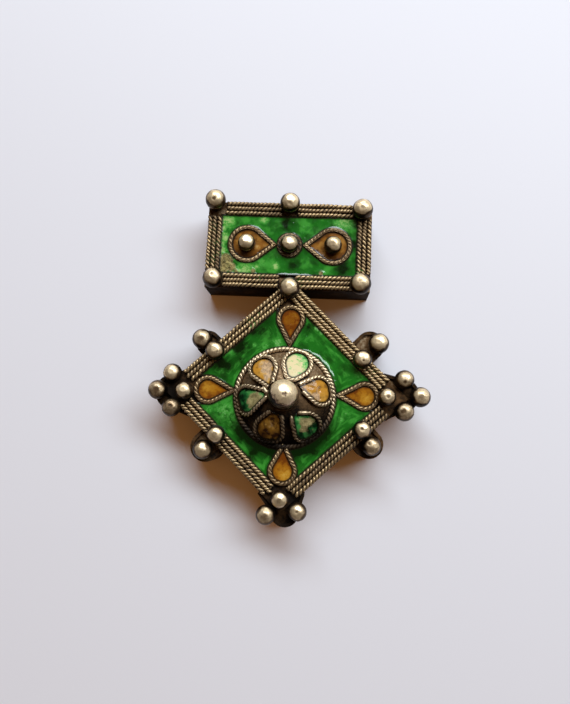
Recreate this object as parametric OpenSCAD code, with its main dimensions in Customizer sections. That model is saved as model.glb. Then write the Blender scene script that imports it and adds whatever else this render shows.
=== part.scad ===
// Enamelled silver cross pendant, lying on its back with its face up.
// A rectangular box and a lozenge box are soldered together, with a domed boss on the lozenge.
// Millimetres. +Y runs from the lozenge to the rectangular box, +Z is out of the face.

/* [Lozenge box] */
// Lozenge from its left corner to its right corner
lozenge_w = 44.8; // [42:0.1:48]
// Lozenge from its top corner to its bottom corner
lozenge_h = 42.7; // [40:0.1:46]
// How far the top corner would reach into the rectangular box
apex_in = 1.9; // [1.5:0.1:2.3]

/* [Rectangular box] */
// Width of the rectangular box
upper_w = 31; // [29:0.1:33]
// Height of the rectangular box, along the pendant
upper_h = 16.6; // [15.5:0.1:18]
// How far its centre lies to the right of the lozenge's
upper_shift = -0.6; // [-1:0.1:1]

/* [Sheet] */
// Thickness of both boxes, from the back to the face plate
depth = 7.2; // [6.5:0.1:8.5]
// Thickness of the sheet silver
wall = 0.8; // [0.6:0.05:1]

/* [Wire rows] */
// Distance from one wire row to the next
row_pitch = 0.9; // [0.8:0.01:0.92]
// Radius of the plain core of a wire row
row_r = 0.34; // [0.3:0.01:0.38]
// Height of a wire row's axis over the face plate
row_lift = 0.26; // [0.2:0.01:0.3]

/* [Cells] */
// Thickness of a cell's rim
rim_t = 0.6; // [0.5:0.05:0.7]
// Height of a cell's rim over what it stands on
rim_h = 0.65; // [0.55:0.05:0.75]
// Radius of a teardrop cell's round end on the rectangular box, to the middle of its rim
upper_drop_r = 3.2; // [3:0.1:3.4]
// From that round end's centre to the cell's tip
upper_drop_tip = 5.1; // [4.8:0.1:5.2]
// Radius of the ring round the middle ball
middle_ring_r = 1.95; // [1.9:0.05:2]
// Radius of a teardrop cell's round end on the lozenge
lozenge_drop_r = 2.25; // [2.1:0.05:2.3]
// From that round end's centre to the cell's tip
lozenge_drop_tip = 4.7; // [4.5:0.1:4.8]

/* [Boss] */
// Radius of the boss over its base ring
boss_r = 9.3; // [9.1:0.05:9.4]
// Height of the dome over the face plate
dome_h = 4.2; // [3.8:0.1:4.8]
// How far the boss lies below the lozenge's centre
boss_drop = 0.75; // [0.5:0.05:1]
// Diameter of the large ball on top
top_ball_d = 4.9; // [4.6:0.1:5.2]
// How far the large ball stands off the dome's axis, towards the rectangular box
top_ball_shift = 0.3; // [0:0.05:0.4]

/* [Enamel] */
// Thickness of the enamel
enamel_t = 0.45; // [0.35:0.05:0.5]
// Gap between an enamel fill and the metal beside it
enamel_gap = 0.05; // [0.04:0.01:0.08]

/* [Cord channel] */
// Radius of the hole in each end wall of the rectangular box
cord_hole_r = 1.5; // [1.2:0.1:1.8]

/* [Hidden] */
$fn = 64;
cut = 0.5;
row_count = 3;
band = row_count * row_pitch;

// Large balls of the rectangular box: right of and above its centre, diameter
UPPER_BALLS = [
    [-14.1, 8.2, 3.6], [0.0, 8.0, 3.5], [13.6, 7.1, 3.6],
    [-13.7, -6.9, 3.6], [0.6, -8.3, 3.6], [13.6, -7.1, 3.7]];
// The one of them that stands over the joint of the two boxes
joint_ball = UPPER_BALLS[4];
// Balls in its cells: right of and above its centre, diameter
CELL_BALLS = [[-7.8, 0.1, 3.0], [0.2, 0.1, 3.1], [8.3, 0.1, 3.1]];
// Side lobes: side of the lozenge (right or left, upper or lower), then distance along that side
// from its left or right corner, distance out of it, and radius of the round end
LOBES = [
    [-1, 1, 11.7, 1.05, 2.3],
    [1, 1, 11.75, 1.95, 2.65],
    [-1, -1, 13.1, 1.65, 2.75],
    [1, -1, 10.8, 1.35, 2.6]];
// Balls on those lobes, in the same order: distance along the side, out of it, diameter
LOBE_BALLS = [[11.35, 2.15, 3.5], [10.9, 3.2, 3.5], [13.2, 2.2, 3.3], [10.7, 1.8, 3.2]];
// Balls beside them on the frame, likewise
SIDE_FRAME_BALLS = [[11.8, -1.2, 3.3], [10.9, -1.1, 3.2], [13.0, -1.5, 3.1], [10.1, -1.5, 3.1]];
// Corner lobes: middle and radius of the round end, then the two ends of its root on the frame
CORNER_LOBES = [
    [-20.7, -0.5, 3.3, [-17.6, 4.2], [-17.6, -4.9]],
    [21.3, 0.7, 3.1, [18.0, 4.5], [18.4, -4.1]],
    [0.9, -21.2, 2.55, [-4.1, -18.1], [4.3, -18.1]]];
// Balls on the corner lobes: place, diameter
CORNER_LOBE_BALLS = [
    [-20.8, 2.9, 3.2], [-23.3, -0.3, 3.3], [-20.6, -3.4, 3.2],
    [21.5, 3.4, 3.3], [24.4, 0.4, 3.4], [21.6, -2.3, 3.3],
    [-2.4, -21.6, 3.3], [3.2, -20.8, 3.1]];
// Balls on the frame at those corners: place, diameter
CORNER_FRAME_BALLS = [[-18.3, -0.3, 3.0], [18.4, 0.2, 3.0], [0.0, -18.7, 3.0]];
// Teardrop cells of the lozenge: round end's centre, angle of the tip
LOZENGE_DROPS = [[0.5, 13.8, -90], [14.5, 0.1, 180], [0.2, -13.9, 90], [-14.1, 0.1, 0]];
// Petal cells of the boss, from the right and anticlockwise. Each runs round its corner circles:
// right of and above the axis, radius
PETALS = [
    [[3.2, 1.9, 0.6], [6.6, 0.8, 1.9], [6.1, 1.7, 2.2]],
    [[1.5, 4.5, 1.5], [2.1, 6.1, 2.5]],
    [[-2.7, 2.2, 0.6], [-3.9, 5.0, 2.3], [-4.5, 5.0, 2.0]],
    [[-3.8, 0.2, 0.9], [-6.9, -0.1, 1.8], [-6.6, -1.9, 1.5]],
    [[-1.7, -4.3, 1.7], [-2.8, -5.8, 2.2], [-1.5, -6.4, 1.6]],
    [[2.5, -3.7, 1.0], [3.6, -6.2, 1.5], [4.4, -4.9, 2.3]]];
// How near the axis each petal's rim comes, where its two ends stand apart
PETAL_OPENINGS = [3.5, 0, 3.2, 0, 3.4, 3.9];

// Bare plate between the ends of the wire rows and the corners or the balls
upper_side_gap = 3.6;
upper_end_gap = 3.2;
upper_middle_gap = 1.75;
corner_gap = 5.0;

lobe_z = depth - 0.3;
lobe_floor = 0.45;
strip = 0.6;
seat_share = 0.8;
rim_sunk = 0.3;
row_top = row_lift + row_r;
dimple_r = 0.6;
dimple_depth = 0.13;
// A block's straight sides start this share of the way out from the middle of its round end
side_start = 0.99;
boss_wire_r = 0.45;
boss_wire_lift = 0.35;
collar_wire_r = 0.3;
collar_r = 2.35;
dome_r = boss_r - boss_wire_r;
dome_ball_r = (dome_r * dome_r + dome_h * dome_h) / (2 * dome_h);
dome_ball_z = depth + dome_h - dome_ball_r;
collar_z = dome_ball_z + sqrt(dome_ball_r * dome_ball_r - collar_r * collar_r) + collar_wire_r / 2;
top_ball_share = 0.86;
top_ball_z = depth + dome_h + top_ball_share * top_ball_d / 2;
upper_bottom = lozenge_h / 2 - apex_in;
upper_centre = [upper_shift, upper_bottom + upper_h / 2];
side_angle = atan2(lozenge_h, lozenge_w);
side_length = norm([lozenge_w, lozenge_h]) / 2;

// The whole pendant is moved so that the middle of its back, measured over everything, is the origin
left_end = CORNER_LOBE_BALLS[1][0] - CORNER_LOBE_BALLS[1][2] / 2;
right_end = CORNER_LOBE_BALLS[4][0] + CORNER_LOBE_BALLS[4][2] / 2;
bottom_end = CORNER_LOBES[2][1] - CORNER_LOBES[2][2];
top_end = upper_centre[1] + UPPER_BALLS[0][1] + UPPER_BALLS[0][2] / 2;
to_origin = [-(left_end + right_end) / 2, -(bottom_end + top_end) / 2, 0];

// Width of a lozenge outline that lies inset from the outer one, and its height
function inset_w(inset) = lozenge_w - 2 * inset / sin(side_angle);
function inset_h(inset) = lozenge_h - 2 * inset / cos(side_angle);

// A point measured along a lozenge side from its left or right corner, and out of that side
function on_side(across, up, along, out) = [
    across * (lozenge_w / 2 - along * cos(side_angle) + out * sin(side_angle)),
    up * (along * sin(side_angle) + out * cos(side_angle))];

// Middle of one of the upper box's cells, at some height
function cell_at(i, z) = [CELL_BALLS[i][0], CELL_BALLS[i][1], z];

// Middles of the balls on a side lobe and on the frame beside it
function lobe_ball_at(i) = on_side(LOBES[i][0], LOBES[i][1], LOBE_BALLS[i][0], LOBE_BALLS[i][1]);
function frame_ball_at(i) =
    on_side(LOBES[i][0], LOBES[i][1], SIDE_FRAME_BALLS[i][0], SIDE_FRAME_BALLS[i][1]);

function ball_z(seat, d) = seat + seat_share * d / 2;

// A silver ball with the small hollow that its casting left on top
module ball(place, seat, d) {
    translate([place[0], place[1], ball_z(seat, d)])
        difference() {
            sphere(d = d);
            translate([0, 0, d / 2 - dimple_depth + dimple_r]) sphere(r = dimple_r);
        }
}

// The room that a ball takes out of another piece under it
module ball_room(place, seat, d) {
    translate([place[0], place[1], ball_z(seat, d)]) sphere(r = d / 2 + enamel_gap);
}

// Teardrop block round the origin with its tip on +X, grown on every side by some amount
module teardrop(r, tip, grow, h) {
    turn = acos(r / tip);
    grown_r = r + grow;
    grown_tip = tip * grown_r / r;
    start = side_start * grown_r;
    cylinder(r = grown_r, h = h);
    linear_extrude(h) polygon([
        [start * cos(turn), start * sin(turn)], [grown_tip, 0], [start * cos(turn), -start * sin(turn)]]);
}

module teardrop_rim(r, tip, h) {
    difference() {
        teardrop(r, tip, rim_t / 2, h);
        translate([0, 0, -cut]) teardrop(r, tip, -rim_t / 2, h + 2 * cut);
    }
}

module teardrop_fill(r, tip, h) {
    teardrop(r, tip, -rim_t / 2 - enamel_gap, h);
}

// Way out of the straight side that runs from one corner circle to the next
function side_way(a, b) =
    atan2(b[1] - a[1], b[0] - a[0]) - acos((a[2] - b[2]) / norm([b[0] - a[0], b[1] - a[1]]));

// Petal block round its corner circles, grown on every side by some amount
module petal(corners, grow, h) {
    count = len(corners);
    for (c = corners) translate([c[0], c[1], 0]) cylinder(r = c[2] + grow, h = h);
    linear_extrude(h) polygon([
        for (i = [0:count - 1])
            let (a = corners[i], b = corners[(i + 1) % count], way = side_way(a, b))
                for (c = [a, b])
                    [c[0], c[1]] + side_start * (c[2] + grow) * [cos(way), sin(way)]]);
}

module petal_rim(corners, h) {
    difference() {
        petal(corners, rim_t / 2, h);
        translate([0, 0, -cut]) petal(corners, -rim_t / 2, h + 2 * cut);
    }
}

module lozenge(inset) {
    half_w = inset_w(inset) / 2;
    half_h = inset_h(inset) / 2;
    polygon([[half_w, 0], [0, half_h], [-half_w, 0], [0, -half_h]]);
}

// One straight wire row between two points of the face
module row(from, to) {
    run = to - from;
    translate([from[0], from[1], depth + row_lift])
        rotate([0, 90, atan2(run[1], run[0])])
            cylinder(r = row_r, h = norm(run));
}

// Everything on the lozenge is drawn round its centre, and on the upper box round that box's
module at_lozenge() {
    translate(to_origin) children();
}

module at_upper() {
    translate(to_origin + [upper_centre[0], upper_centre[1], 0]) children();
}

module at_boss() {
    translate(to_origin + [0, -boss_drop, 0]) children();
}

// The three rows along each side of the upper box, in two runs above and below, between the balls
module upper_rows() {
    for (k = [0:row_count - 1]) {
        x = upper_w / 2 - (k + 0.5) * row_pitch;
        y = upper_h / 2 - (k + 0.5) * row_pitch;
        for (s = [-1, 1]) {
            row([s * x, upper_end_gap - upper_h / 2], [s * x, upper_h / 2 - upper_end_gap]);
            for (t = [-1, 1])
                row([t * upper_middle_gap, s * y], [t * (upper_w / 2 - upper_side_gap), s * y]);
        }
    }
}

module upper_box() {
    hole_z = depth / 2;
    color("rosybrown")
        at_upper() {
            difference() {
                translate([-upper_w / 2, -upper_h / 2, 0]) cube([upper_w, upper_h, depth]);
                translate([wall - upper_w / 2, wall - upper_h / 2, wall])
                    cube([upper_w - 2 * wall, upper_h - 2 * wall, depth - 2 * wall]);
                for (s = [-1, 1])
                    translate([s * (upper_w / 2 - wall / 2), 0, hole_z])
                        rotate([0, 90, 0])
                            cylinder(r = cord_hole_r, h = wall + 2 * cut, center = true);
            }
            upper_rows();
            for (b = UPPER_BALLS) ball(b, depth, b[2]);
            for (b = CELL_BALLS) ball(b, depth, b[2]);
            for (i = [0, 2]) translate(cell_at(i, depth - rim_sunk)) rotate(i * 90)
                teardrop_rim(upper_drop_r, upper_drop_tip, rim_h + rim_sunk);
            translate(cell_at(1, depth - rim_sunk)) difference() {
                cylinder(r = middle_ring_r + rim_t / 2, h = rim_h + rim_sunk);
                translate([0, 0, -cut]) cylinder(r = middle_ring_r - rim_t / 2, h = depth);
            }
        }
}

// A side lobe's outline: a round end on a straight root, in the side's own directions
module side_lobe(l, shrink) {
    place = on_side(l[0], l[1], l[2], l[3]);
    root = on_side(l[0], l[1], l[2], -wall / 2);
    r = l[4] - shrink;
    half = side_start * r;
    translate(place) circle(r = r);
    translate(root) rotate(atan2(place[1] - root[1], place[0] - root[0]))
        translate([0, -half]) square([l[3] + wall / 2, 2 * half]);
}

// A corner lobe's outline: a round end on a root that widens towards the frame
module corner_lobe(c, shrink) {
    middle = [c[0], c[1]];
    across = (c[3] - c[4]) / norm(c[3] - c[4]);
    r = c[2] - shrink;
    translate(middle) circle(r = r);
    polygon([
        middle + side_start * r * across, c[3] - shrink * across,
        c[4] + shrink * across, middle - side_start * r * across]);
}

module all_lobes(shrink) {
    for (l = LOBES) side_lobe(l, shrink);
    for (c = CORNER_LOBES) corner_lobe(c, shrink);
}

// Room of the upper box, which cuts the lozenge's top corner off
module below_upper() {
    translate([-lozenge_w / 2, upper_bottom]) square([lozenge_w, apex_in + cut]);
}

// The three rows along each side of the lozenge, which stop short of the corners
module lozenge_rows() {
    for (k = [0:row_count - 1]) {
        inset = (k + 0.5) * row_pitch;
        for (s = [-1, 1]) {
            row(on_side(s, 1, corner_gap, -inset), [0, inset_h(inset) / 2]);
            row(on_side(s, -1, corner_gap, -inset), on_side(s, -1, side_length - corner_gap, -inset));
        }
    }
}

module lozenge_box() {
    color("tan")
        at_lozenge() difference() {
            union() {
                difference() {
                    linear_extrude(lobe_z) all_lobes(0);
                    translate([0, 0, lobe_z - lobe_floor]) linear_extrude(lobe_floor + cut) all_lobes(strip);
                    translate([0, 0, wall]) linear_extrude(lobe_z - lobe_floor - 2 * wall) all_lobes(strip);
                }
                linear_extrude(depth) lozenge(0);
                lozenge_rows();
                for (i = [0:3]) {
                    ball(lobe_ball_at(i), lobe_z - lobe_floor, LOBE_BALLS[i][2]);
                    ball(frame_ball_at(i), depth + row_top / 2, SIDE_FRAME_BALLS[i][2]);
                }
                for (b = CORNER_LOBE_BALLS) ball(b, lobe_z - lobe_floor, b[2]);
                for (b = CORNER_FRAME_BALLS) ball(b, depth, b[2]);
                for (d = LOZENGE_DROPS) translate([d[0], d[1], depth - rim_sunk]) rotate(d[2])
                    teardrop_rim(lozenge_drop_r, lozenge_drop_tip, rim_h + rim_sunk);
            }
            translate([0, 0, wall]) linear_extrude(depth - 2 * wall)
                intersection() {
                    lozenge(wall);
                    translate([-lozenge_w / 2, -lozenge_h / 2])
                        square([lozenge_w, lozenge_h / 2 + upper_bottom - wall]);
                }
            translate([0, 0, -cut]) linear_extrude(depth + 2 * cut + rim_h + row_top) below_upper();
            translate([upper_centre[0], upper_centre[1], 0]) ball_room(joint_ball, depth, joint_ball[2]);
            boss_room();
        }
}

// Keeps the tips of the teardrop rims out of the boss
module boss_room() {
    translate([0, -boss_drop, depth]) cylinder(r = boss_r, h = depth);
}

// A thick skin over the dome, from one height above its surface to another
module dome_skin(low, high) {
    translate([0, 0, dome_ball_z])
        difference() {
            sphere(r = dome_ball_r + high);
            sphere(r = dome_ball_r + low);
        }
}

// Half section of the dome with its base ring and collar
module boss_profile() {
    intersection() {
        translate([0, depth]) square([boss_r + cut, 3 * dome_h]);
        difference() {
            union() {
                translate([0, dome_ball_z]) circle(r = dome_ball_r);
                translate([dome_r, depth + boss_wire_lift]) circle(r = boss_wire_r);
                translate([collar_r, collar_z]) circle(r = collar_wire_r);
            }
            translate([0, dome_ball_z]) circle(r = dome_ball_r - wall);
        }
    }
}

module boss() {
    color("burlywood")
        at_boss() {
            rotate_extrude() boss_profile();
            translate([0, top_ball_shift, top_ball_z]) difference() {
                sphere(d = top_ball_d);
                translate([0, 0, top_ball_d / 2 - dimple_depth + dimple_r]) sphere(r = dimple_r);
            }
            for (i = [0:len(PETALS) - 1]) difference() {
                intersection() {
                    dome_skin(-rim_sunk, rim_h);
                    translate([0, 0, depth]) petal_rim(PETALS[i], 2 * dome_h);
                }
                if (PETAL_OPENINGS[i] > 0)
                    translate([0, 0, depth]) cylinder(r = PETAL_OPENINGS[i], h = 2 * dome_h);
            }
        }
}

module upper_field_enamel() {
    field_w = upper_w - 2 * band - 2 * enamel_gap;
    field_h = upper_h - 2 * band - 2 * enamel_gap;
    grow = rim_t / 2 + enamel_gap;
    color("green")
        at_upper() difference() {
            translate([-field_w / 2, -field_h / 2, depth]) cube([field_w, field_h, enamel_t]);
            for (i = [0, 2]) translate(cell_at(i, depth - cut)) rotate(i * 90)
                teardrop(upper_drop_r, upper_drop_tip, grow, enamel_t + 2 * cut);
            translate(cell_at(1, depth - cut))
                cylinder(r = middle_ring_r + grow, h = enamel_t + 2 * cut);
            for (b = UPPER_BALLS) ball_room(b, depth, b[2]);
        }
}

module upper_drop_enamel(i) {
    color("goldenrod")
        at_upper() difference() {
            translate(cell_at(i, depth)) rotate(i * 90)
                teardrop_fill(upper_drop_r, upper_drop_tip, enamel_t);
            ball_room(CELL_BALLS[i], depth, CELL_BALLS[i][2]);
        }
}

// One of the four green panels: 1 upper right, 2 upper left, 3 lower left, 4 lower right
module lozenge_enamel(i) {
    across = (i == 1 || i == 4) ? 1 : -1;
    up = i < 3 ? 1 : -1;
    between_x = LOZENGE_DROPS[up > 0 ? 0 : 2][0];
    between_y = LOZENGE_DROPS[across > 0 ? 1 : 3][1];
    grow = rim_t / 2 + enamel_gap;
    color("forestgreen")
        at_lozenge() difference() {
            translate([0, 0, depth]) linear_extrude(enamel_t) intersection() {
                lozenge(band + enamel_gap);
                translate([between_x + across * lozenge_w / 2, between_y + up * lozenge_h / 2])
                    square([lozenge_w - 2 * enamel_gap, lozenge_h - 2 * enamel_gap], center = true);
            }
            for (d = LOZENGE_DROPS) translate([d[0], d[1], depth - cut]) rotate(d[2]) {
                teardrop(lozenge_drop_r, lozenge_drop_tip, grow, enamel_t + 2 * cut);
                translate([-2 * lozenge_drop_tip, -lozenge_drop_r - grow, 0])
                    cube([2 * lozenge_drop_tip, 2 * (lozenge_drop_r + grow), enamel_t + 2 * cut]);
            }
            translate([0, -boss_drop, depth - cut])
                cylinder(r = boss_r + enamel_gap, h = enamel_t + 2 * cut);
            for (i = [0:3]) ball_room(frame_ball_at(i), depth + row_top / 2, SIDE_FRAME_BALLS[i][2]);
            for (b = CORNER_FRAME_BALLS) ball_room(b, depth, b[2]);
        }
}

// Orange fill of one lozenge cell: 0 top, 1 right, 2 bottom, 3 left
module drop_enamel(i) {
    d = LOZENGE_DROPS[i];
    color("darkorange")
        at_lozenge() difference() {
            translate([d[0], d[1], depth]) rotate(d[2])
                teardrop_fill(lozenge_drop_r, lozenge_drop_tip, enamel_t);
            translate([0, -boss_drop, depth - cut]) cylinder(r = boss_r + enamel_gap, h = depth);
        }
}

// Fill of one petal, 1 to 6 counted from the right and anticlockwise
module petal_enamel(i) {
    color(i % 2 == 1 ? "gold" : "seagreen")
        at_boss() difference() {
            intersection() {
                dome_skin(enamel_gap, enamel_t);
                translate([0, 0, depth]) petal(PETALS[i - 1], -rim_t / 2 - enamel_gap, 2 * dome_h);
                translate([0, 0, depth]) cylinder(r = dome_r - boss_wire_r - enamel_gap, h = 2 * dome_h);
            }
            translate([0, 0, collar_z]) cylinder(r = collar_r + collar_wire_r + enamel_gap, h = dome_h);
        }
}

upper_box();
lozenge_box();
boss();
upper_field_enamel();
upper_drop_enamel(0);  // upper_drop_left_enamel
upper_drop_enamel(2);  // upper_drop_right_enamel
for (i = [1:4]) lozenge_enamel(i);
drop_enamel(0);  // drop_top_enamel
drop_enamel(1);  // drop_right_enamel
drop_enamel(2);  // drop_bottom_enamel
drop_enamel(3);  // drop_left_enamel
for (i = [1:6]) petal_enamel(i);
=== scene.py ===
"""An old enamelled silver cross pendant, lying on its back on a pale table.

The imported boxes, lobes and dome stay as they are and get an old silver finish. Twisted wire is laid
over their plain ridges and rims, every ball gets a worn skin with its dents, and each enamel fill
is a poured, uneven sheet in the place of its solid.
"""

import math

import bmesh
import bpy
import numpy as np
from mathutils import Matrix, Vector
from mathutils.geometry import delaunay_2d_cdt


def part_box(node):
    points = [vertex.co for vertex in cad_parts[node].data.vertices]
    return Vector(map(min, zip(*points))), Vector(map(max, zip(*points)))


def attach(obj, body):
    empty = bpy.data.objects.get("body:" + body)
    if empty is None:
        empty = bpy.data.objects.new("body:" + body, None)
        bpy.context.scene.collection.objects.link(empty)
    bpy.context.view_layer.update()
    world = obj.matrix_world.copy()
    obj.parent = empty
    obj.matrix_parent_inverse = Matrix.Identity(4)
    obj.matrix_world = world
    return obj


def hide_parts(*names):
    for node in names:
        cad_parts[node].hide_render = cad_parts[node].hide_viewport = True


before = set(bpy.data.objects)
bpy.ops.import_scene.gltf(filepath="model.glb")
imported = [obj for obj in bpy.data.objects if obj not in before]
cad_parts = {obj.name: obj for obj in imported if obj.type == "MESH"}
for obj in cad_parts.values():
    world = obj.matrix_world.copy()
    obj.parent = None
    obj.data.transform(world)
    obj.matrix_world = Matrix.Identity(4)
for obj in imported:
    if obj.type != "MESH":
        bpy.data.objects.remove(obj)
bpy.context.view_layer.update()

# Sizes below are millimetres, as in the part's source, and meshes are made in metres
MM = 0.001

# Driving dimensions of the pendant
LOZENGE_W = 44.8
LOZENGE_H = 42.7
APEX_IN = 1.9
UPPER_W = 31.0
UPPER_H = 16.6
UPPER_SHIFT = -0.6
DEPTH = 7.2
ROW_PITCH = 0.9
ROWS = 3
ENAMEL_T = 0.45
UPPER_DROP_R = 3.2
UPPER_DROP_TIP = 5.1
MIDDLE_RING_R = 1.95
LOZENGE_DROP_R = 2.25
LOZENGE_DROP_TIP = 4.7
BOSS_R = 9.3
BOSS_RING_R = 0.45
BOSS_DROP = 0.75
DOME_H = 4.2
TOP_BALL_D = 4.9
TOP_BALL_SHARE = 0.86
TOP_BALL_SHIFT = 0.3
SEAT_SHARE = 0.8

# Bare plate between the ends of the wire rows and the corners or the balls
UPPER_SIDE_GAP = 3.6
UPPER_END_GAP = 3.2
UPPER_MIDDLE_GAP = 1.75
CORNER_GAP = 5.0
BOTTOM_GAP = 4.0
# How much further each wire may reach, how far the rows go in under the middle balls of the upper
# box, and how far those of the lozenge stop short of that box
UPPER_LONGER = 0.35
CORNER_LONGER = 0.4
BOTTOM_LONGER = (-0.5, 0.3)
UPPER_BALL_TUCK = 0.2
APEX_CLEAR = 0.3
# Painted shade on the plate between the corner balls: place from the lozenge's centre, share of wear left
SHADED_CORNERS = [(-20.6, -0.3, 0.3), (21.4, 0.4, 0.7), (0.4, -19.8, 0.35)]
# Up to the first distance from such a place the painted shade is darkest, and past the second the plate is as
# worn as elsewhere
SHADE_FROM = 3.0
SHADE_TO = 6.0
# How far round a point other forms keep it from wear
PLATE_REACH = 1.2
WIRE_REACH = 0.8

# The pendant's two centres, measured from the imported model
upper_low, upper_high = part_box("upper_field_enamel")
UPPER_X = (upper_low.x + upper_high.x) / 2 / MM
UPPER_Y = (upper_low.y + upper_high.y) / 2 / MM
CENTRE_X = UPPER_X - UPPER_SHIFT
CENTRE_Y = UPPER_Y - UPPER_H / 2 - LOZENGE_H / 2 + APEX_IN
BOSS_Y = CENTRE_Y - BOSS_DROP

SIDE = math.atan2(LOZENGE_H, LOZENGE_W)
SIDE_LENGTH = math.hypot(LOZENGE_W, LOZENGE_H) / 2
UPPER_BOTTOM = LOZENGE_H / 2 - APEX_IN
BAND = ROWS * ROW_PITCH
ROW_WIRE_R = 0.45
RIM_WIRE_R = 0.4
RING_WIRE_R = 0.5
WIRE_LIFT = 0.4
RING_LIFT = 0.47
# Melted ends of the petal wires, as a share of the wire's radius
MELTED_SHARE = 0.98
# Twisted wire: length of a turn, and its rings. Of each strand the sides, and as shares of the wire's
# radius how thick it is and how far off the middle it runs
TWIST = 1.48
RINGS_A_TURN = 12
STRAND_SIDES = 10
STRAND_R = 0.6
STRAND_OFF = 0.42
# Flat of the crests: how high it lies, how uneven it is, and how much has gone of what stood over it
FLAT_AT = 0.86
FLAT_UNEVEN = 0.05
FLAT_SHARE = 0.8
# How uneven the wear is, and over what length the twist, the flat and the wear change
WEAR_UNEVEN = 0.14
TWIST_RUN = 3.2
FLAT_RUN = 2.2
WEAR_RUN = 5.0
# Where a strand is worn: from how far off the wire's middle, over what run, and how much on its sides
OUTER_FROM = 0.5
OUTER_RUN = 0.45
SIDE_WORN = 0.35
# How far each kind of wire is worn. Upper box: upright rows, level rows, cells
UPRIGHT_WORN = 0.6
LEVEL_WORN = 0.69
LOWER_MORE = 0.04
RIGHT_MORE = 0.06
UPPER_DROP_WORN = 0.64
MIDDLE_RING_WORN = 0.5
# Lozenge: rows of its upper and of its lower sides, cells. The lower sides' rows get less wear, partly as
# painted shade
TOP_SIDES_WORN = 0.9
TOP_RIGHT_MORE = 0.12
LOW_SIDES_WORN = 0.66
LOW_LEFT_MORE = 0.03
LOZENGE_DROP_WORN = 0.65
# Painted light and shade on the boss's wires: how much lighter towards the upper side, how much duller near
# the base ring, and how dark the base ring's lower side is painted
PAINTED_LIGHT_SLOPE = 0.8
DULL_AT_RING = 0.35
DARKEST_BELOW = 0.7
# The dome's ball, and the heights of the seats and of the lobes' tops
DOME_RIM_R = BOSS_R - BOSS_RING_R
DOME_BALL_R = (DOME_RIM_R ** 2 + DOME_H ** 2) / (2 * DOME_H)
DOME_BALL_Z = DEPTH + DOME_H - DOME_BALL_R
LOBE_SEAT = DEPTH - 0.75
LOBE_TOP = DEPTH - 0.3
FRAME_SEAT = DEPTH + 0.3

# How far a ball's skin stands off the plain ball, and how far off it stays where it is worn
SKIN = 0.12
SKIN_LEAST = 0.006
# How uneven a ball's form, its dimple's edge and its wear are, and over what length
BALL_UNEVEN = 0.006
BALL_SWELL = 0.9
DIMPLE_UNEVEN = 0.15
DIMPLE_SWELL = 0.4
CAP_UNEVEN = 0.06
CAP_SWELL = 0.8
# How far the middle of its worn cap strays from the top
CAP_STRAY = 0.06
# Facets of a ball from handling: how many, how far they lean, their radius, and how far they stand out
FACETS = 5
FACET_LEAN = (0.35, 0.9)
FACET_R = (0.3, 0.5)
FACET_RISE = 0.004
# The dark spot of a ball with no dimple, as a share of its flat
SPOT_SHARE = 1.25
# The lip round a dimple: its height as a share of the depth, its place and width of the radius
LIP_H = 0.25
LIP_AT = 1.5
LIP_WIDTH = 0.4
# A painted highlight on a ball's lower side, standing for the table's reflection: how much it adds, how high
# it lies and its width
RIM_GLINT = 0.55
RIM_GLINT_AT = 0.14
RIM_GLINT_WIDTH = 0.1

# How far enamel runs in under a wire, and how far its edge then lies from the middle of a rim's wire
UNDER_WIRE = 0.22
RIM_TO_EDGE = RIM_WIRE_R - UNDER_WIRE
# How far its underside lies in the plate
BEDDED = 0.02
# How far the enamel stands below its solid's top, and how far it climbs the wires round it
SUNK = 0.08
CLIMB = 0.045
CLIMB_REACH = 0.22
POOL_CLIMB = 0.15
POOL_REACH = 0.55
POOL_EASE = 0.1
# How high and how wide its swells and its small waves are
SWELL_H = 0.03
SWELL_SIZE = 2.6
WAVE_H = 0.008
WAVE_SIZE = 0.9
# Its pits: how few there are, how wide and how deep
PIT_FROM = 1.25
PIT_SIZE = 0.45
PIT_DEPTH = 0.06
# How high a pale place stands, and the crust: its height, how uneven it is and over what length
PALE_H = 0.03
CRUST_H = 0.1
CRUST_UNEVEN = 0.09
CRUST_SIZE = 0.5
# Enamel of the petals: how far it has sunk, how rough it is, and what wear takes off and leaves uneven
PETAL_SUNK = 0.08
PETAL_ROUGH = 1.3
PETAL_LOSS = 0.12
PETAL_UNEVEN = 0.06
# Painted shadow of the dome on the enamel round the lower side of the boss: how low it starts, its strength
# and its reach
LOW_FROM = 0.3
LOW_SHADE = 1.45
LOW_REACH = 2.0
# Colours of the grime and painted contact shade against the wires, and of the green that is left between them
GRIME_AND_SHADE = (0.012, 0.009, 0.005)
RESIDUE_GREEN = (0.12, 0.25, 0.05)

# The camera, from the boss's axis and the table: place, turns and focal length
CAMERA_PLACE = (5.01, -5.06, 114.0)
CAMERA_TURNS = (0.12751, 0.044055, 0.046426)
LENS = 29.91
# The window: how far it is, its direction from the upper end and its height in degrees, its size
WINDOW_AWAY = 700.0
WINDOW_TURN = 21
WINDOW_RISE = 47
WINDOW_W = 1100
WINDOW_H = 250
# How far the table reaches each way
FLOOR_REACH = 700.0

# Numbers that the draws of each kind of piece start from
WIRE_DRAWS = 1000
BALL_DRAWS = 3000
UPPER_LENGTH_DRAWS = 11
LOZENGE_LENGTH_DRAWS = 12
UPPER_DRAWS = 0
LOZENGE_DRAWS = 30
BOSS_DRAWS = 70
LOZENGE_BALL_DRAWS = 20
TOP_BALL_DRAWS = 60
UPPER_FIELD_DRAWS = 1
UPPER_DROP_DRAWS = {"left": 5, "right": 9}
PANEL_DRAWS = 20
DROP_DRAWS = 40
PETAL_DRAWS = 60

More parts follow.
